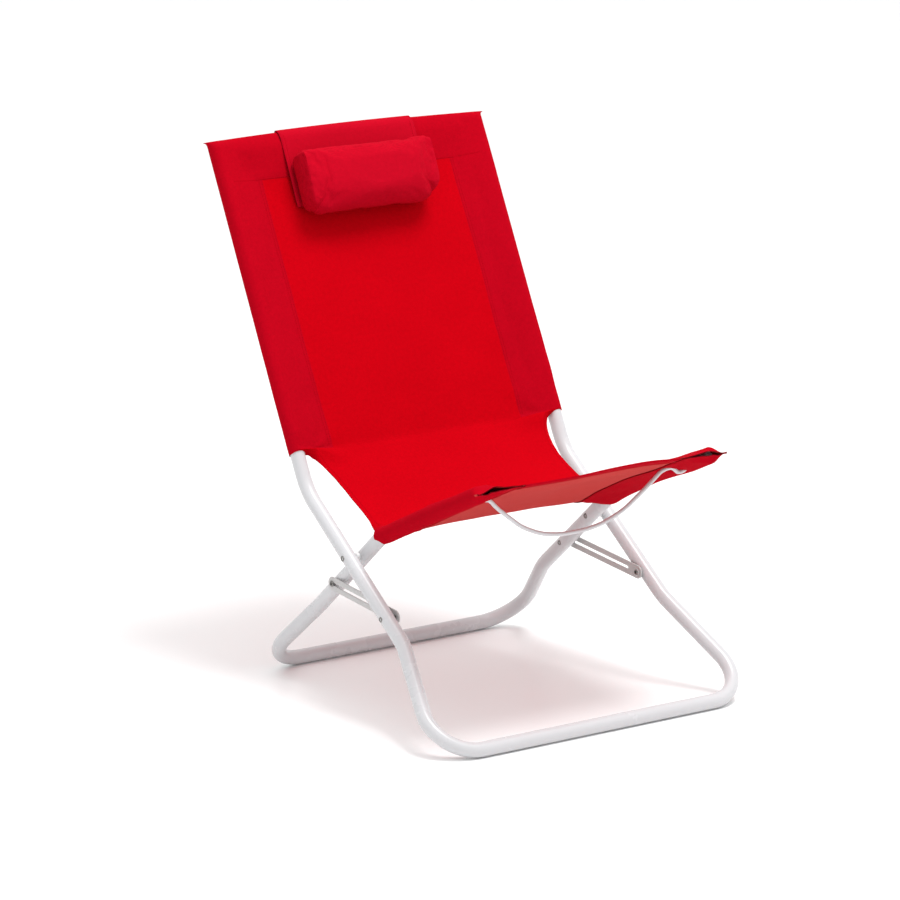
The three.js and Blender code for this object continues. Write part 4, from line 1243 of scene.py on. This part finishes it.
bm, seam, key, dims = pillow_shape()
bm.verts.ensure_lookup_table()
bm.verts.index_update()
seam_idx = sorted(v.index for v in seam)
me = bpy.data.meshes.new("headrest_pillow_cover")
for v in bm.verts:
    v.co = v.co / 1000
bm.to_mesh(me)
bm.free()
pillow = bpy.data.objects.new("headrest_pillow_cover", me)
bpy.context.scene.collection.objects.link(pillow)
rest = np.array([v.co[:] for v in me.vertices])
g = pillow.vertex_groups.new(name="seam")
g.add(seam_idx, 1.0, "REPLACE")
cl = pillow.modifiers.new("Cloth", "CLOTH")
st = cl.settings
st.quality = 6
st.mass = 0.25
st.tension_stiffness = 12
st.compression_stiffness = 6
st.shear_stiffness = 4
st.bending_stiffness = 0.12
st.use_pressure = True
st.uniform_pressure_force = 3.6
st.effector_weights.gravity = 0
st.shrink_min = -0.055
st.vertex_group_mass = "seam"
st.pin_stiffness = 1.0
cl.collision_settings.use_collision = False
cl.point_cache.frame_start, cl.point_cache.frame_end = 1, 22
scn = bpy.context.scene
for f in range(1, 23):
    scn.frame_set(f)
dg = bpy.context.evaluated_depsgraph_get()
ev = pillow.evaluated_get(dg)
new = np.array([v.co[:] for v in ev.data.vertices])
pillow.modifiers.remove(cl)
scn.frame_set(1)
move = (new - rest) * np.array([0.6, 0.42, 0.85])
dist = np.linalg.norm(move, axis=1)
cap = 0.0095
new = rest + move * np.minimum(1.0, cap / np.maximum(dist, 1e-9))[:, None]
me.vertices.foreach_set("co", new.ravel())
me.update()
# the piped seams round both ends stay crisp
seam_set = set(seam_idx)
cr = me.attributes.new("crease_edge", "FLOAT", "EDGE")
cr.data.foreach_set("value", np.array([0.55 if (e.vertices[0] in seam_set and e.vertices[1] in seam_set) else 0.0 for e in me.edges], np.float32))
sub = pillow.modifiers.new("Subdivision", "SUBSURF")
sub.levels = sub.render_levels = 1
dg = bpy.context.evaluated_depsgraph_get()
fine = bpy.data.meshes.new_from_object(pillow.evaluated_get(dg))
pillow.modifiers.clear()
pillow.data = fine
pillow.vertex_groups.clear()
co = np.array([v.co[:] for v in fine.vertices]) * 1000

# seam loops at both ends: pull the seam in and pucker the cloth beside it
seam_pts = np.array([new[i] for i in seam_idx]) * 1000
from mathutils.kdtree import KDTree
kd = KDTree(len(seam_pts))
for i, p in enumerate(seam_pts):
    kd.insert(p, i)
kd.balance()
nrm = np.array([v.normal[:] for v in fine.vertices])
for i in range(len(co)):
    p, j, d = kd.find(co[i])
    s = 1 if co[i][0] > 0 else -1
    if d < 34:
        ang = math.atan2(co[i][2], co[i][1])
        # radial puckers: short gathers running away from the seam
        g1 = wob(math.cos(ang) * 44, math.sin(ang) * 26, s * 30, 31, 7.5)
        g2 = wob(math.cos(ang) * 44, math.sin(ang) * 26, s * 30, 32, 15)
        co[i] += nrm[i] * (-0.9 * math.exp(-(d / 2.6) ** 2) + (0.9 * g1 * (1 - math.exp(-(d / 3.5) ** 2)) * math.exp(-d / 8.0)) + 0.6 * g2 * math.exp(-d / 16.0) * (1 - math.exp(-(d / 6) ** 2)))
    co[i] += nrm[i] * (1.1 * wob(co[i][0], co[i][1], co[i][2], 33, 70) + 0.3 * wob(co[i][0], co[i][1], co[i][2], 34, 20))
# settle against the flap behind: flatten what would reach past the rear plane
rear = -PIL_T / 2 + 0.3
co[:, 2] = np.where(co[:, 2] < rear + 2.5, rear + 2.5 - (rear + 2.5 - co[:, 2]) * 0.35, co[:, 2])
co[:, 2] = np.maximum(co[:, 2], rear)
# to the row frame: it leans with the flap, nearer the panel at its foot
mid_v = (PIL_TOP + PIL_BOT) / 2
lean = math.atan2(5.3, 121.5)
top_off = BAR_R + 0.2 + TH + 1.0 + FL_TH + 0.5
out = np.zeros_like(co)
for i, (a, b, c) in enumerate(co):
    v = mid_v + b
    off = top_off - (v - 20) * 5.3 / 121.5 + c + PIL_T / 2 + 0.35
    q = np.array(HEM_TOP) - BU * v + BF * off
    out[i] = ((a + HEAD_X) / 1000, (q[0] + YS) / 1000, q[1] / 1000)
fine.vertices.foreach_set("co", out.ravel())
fine.materials.clear()
fine.materials.append(M_PILLOW)
fine.polygons.foreach_set("use_smooth", np.ones(len(fine.polygons), bool))
fine.update()
bm = bmesh.new()
bm.from_mesh(fine)
bmesh.ops.recalc_face_normals(bm, faces=bm.faces)
bm.to_mesh(fine)
bm.free()
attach(pillow, "headrest")
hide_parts("headrest_pillow")

# hem stitches of the flap
flap_tree = BVHTree.FromPolygons([v.co.copy() for v in flap.data.vertices], [tuple(p.vertices) for p in flap.data.polygons])
def on_flap(xs, vs, direction):
    d = Vector((0, direction[0], direction[1])).normalized()
    pts, nor = [], []
    for x, v in zip(xs, vs):
        q = np.array(HEM_TOP) - BU * v
        o = Vector(((x + HEAD_X) / 1000, (q[0] + YS) / 1000, q[1] / 1000)) - d * 0.06
        h = flap_tree.ray_cast(o, d, 0.12)
        if h[0] is None:
            continue
        pts.append(np.array(h[0]))
        nor.append(np.array(h[1] if h[1].dot(d) < 0 else -h[1]))
    return pts, nor
for s, side in ((-1, "left"), (1, "right")):
    vs = np.arange(4, 110, 2.0)
    p, n = on_flap([s * (FLAP_W - 6.5)] * len(vs), vs, -BF)
    o = stitch_row(f"flap_hem_thread_{side}_front", p, n, M_THREAD)
    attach(o, "headrest")
    vs = np.arange(4, 146, 2.0)
    p, n = on_flap([s * (FLAP_W - 6.5)] * len(vs), vs, BF)
    o = stitch_row(f"flap_hem_thread_{side}_rear", p, n, M_THREAD)
    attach(o, "outer_frame")
xs = np.arange(-FLAP_W + 7, FLAP_W - 7, 2.0)
p, n = on_flap(xs, [143.0] * len(xs), BF)
o = stitch_row("flap_hem_thread_rear_foot", p, n, M_THREAD)
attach(o, "outer_frame")


# ------------------------------------------------------------------ stage, light, camera
floor = make_object("floor", [(-14, -14, 0), (14, -14, 0), (14, 14, 0), (-14, 14, 0)], [(0, 1, 2, 3)], [])
fm, fnt, fb = new_material("floor_white")
fb.inputs["Base Color"].default_value = (0.95, 0.95, 0.95, 1)
fb.inputs["Roughness"].default_value = 0.28
fb.inputs["Specular IOR Level"].default_value = 0.3
floor.data.materials.append(fm)

world = bpy.data.worlds.new("studio")
bpy.context.scene.world = world
world.use_nodes = True
wt = world.node_tree
bg = wt.nodes["Background"]
tc = wt.nodes.new("ShaderNodeTexCoord")
sp = wt.nodes.new("ShaderNodeSeparateXYZ")
wt.links.new(tc.outputs["Generated"], sp.inputs[0])
mr = wt.nodes.new("ShaderNodeFloatCurve")
curve = mr.mapping.curves[0]
for i, (x, y) in enumerate(((0.0, 0.69), (0.11, 0.69), (0.2, 0.42), (1.0, 0.94))):
    if i in (0, 3):
        p = curve.points[0] if i == 0 else curve.points[-1]
        p.location = (x, y)
    else:
        p = curve.points.new(x, y)
    p.handle_type = "VECTOR"
mr.mapping.update()
bg.inputs[0].default_value = (1.0, 1.0, 1.0, 1)
wt.links.new(sp.outputs[2], mr.inputs["Value"])
gain = wt.nodes.new("ShaderNodeMath")
gain.operation = "MULTIPLY"
gain.inputs[1].default_value = 1.5
wt.links.new(mr.outputs[0], gain.inputs[0])
wt.links.new(gain.outputs[0], bg.inputs[1])

def area(name, loc, target, size, power, colour=(1, 1, 1)):
    d = bpy.data.lights.new(name, "AREA")
    d.shape = "DISK"
    d.size = size
    d.energy = power
    d.color = colour
    o = bpy.data.objects.new(name, d)
    bpy.context.scene.collection.objects.link(o)
    o.location = loc
    o.rotation_euler = (Vector(target) - Vector(loc)).to_track_quat("-Z", "Y").to_euler()
    return o

area("key", (0.6, -1.0, 4.2), (0, 0, 0.4), 1.7, 112)

cam_data = bpy.data.cameras.new("camera")
cam_data.sensor_width = 36.0
cam_data.lens = 4593.43 / 900 * 36.0
cam_data.clip_end = 60
cam = bpy.data.objects.new("camera", cam_data)
bpy.context.scene.collection.objects.link(cam)
az, el = math.radians(-34.62), math.radians(13.74)
back = Vector((math.sin(az) * math.cos(el), -math.cos(az) * math.cos(el), math.sin(el)))
look = Vector((-44.3, 219.51 + YS, 353.86)) / 1000
cam.location = look + back * 6.6149
cam.rotation_euler = (-back).to_track_quat("-Z", "Y").to_euler()
bpy.context.scene.camera = cam
bpy.context.scene.view_settings.view_transform = "Standard"
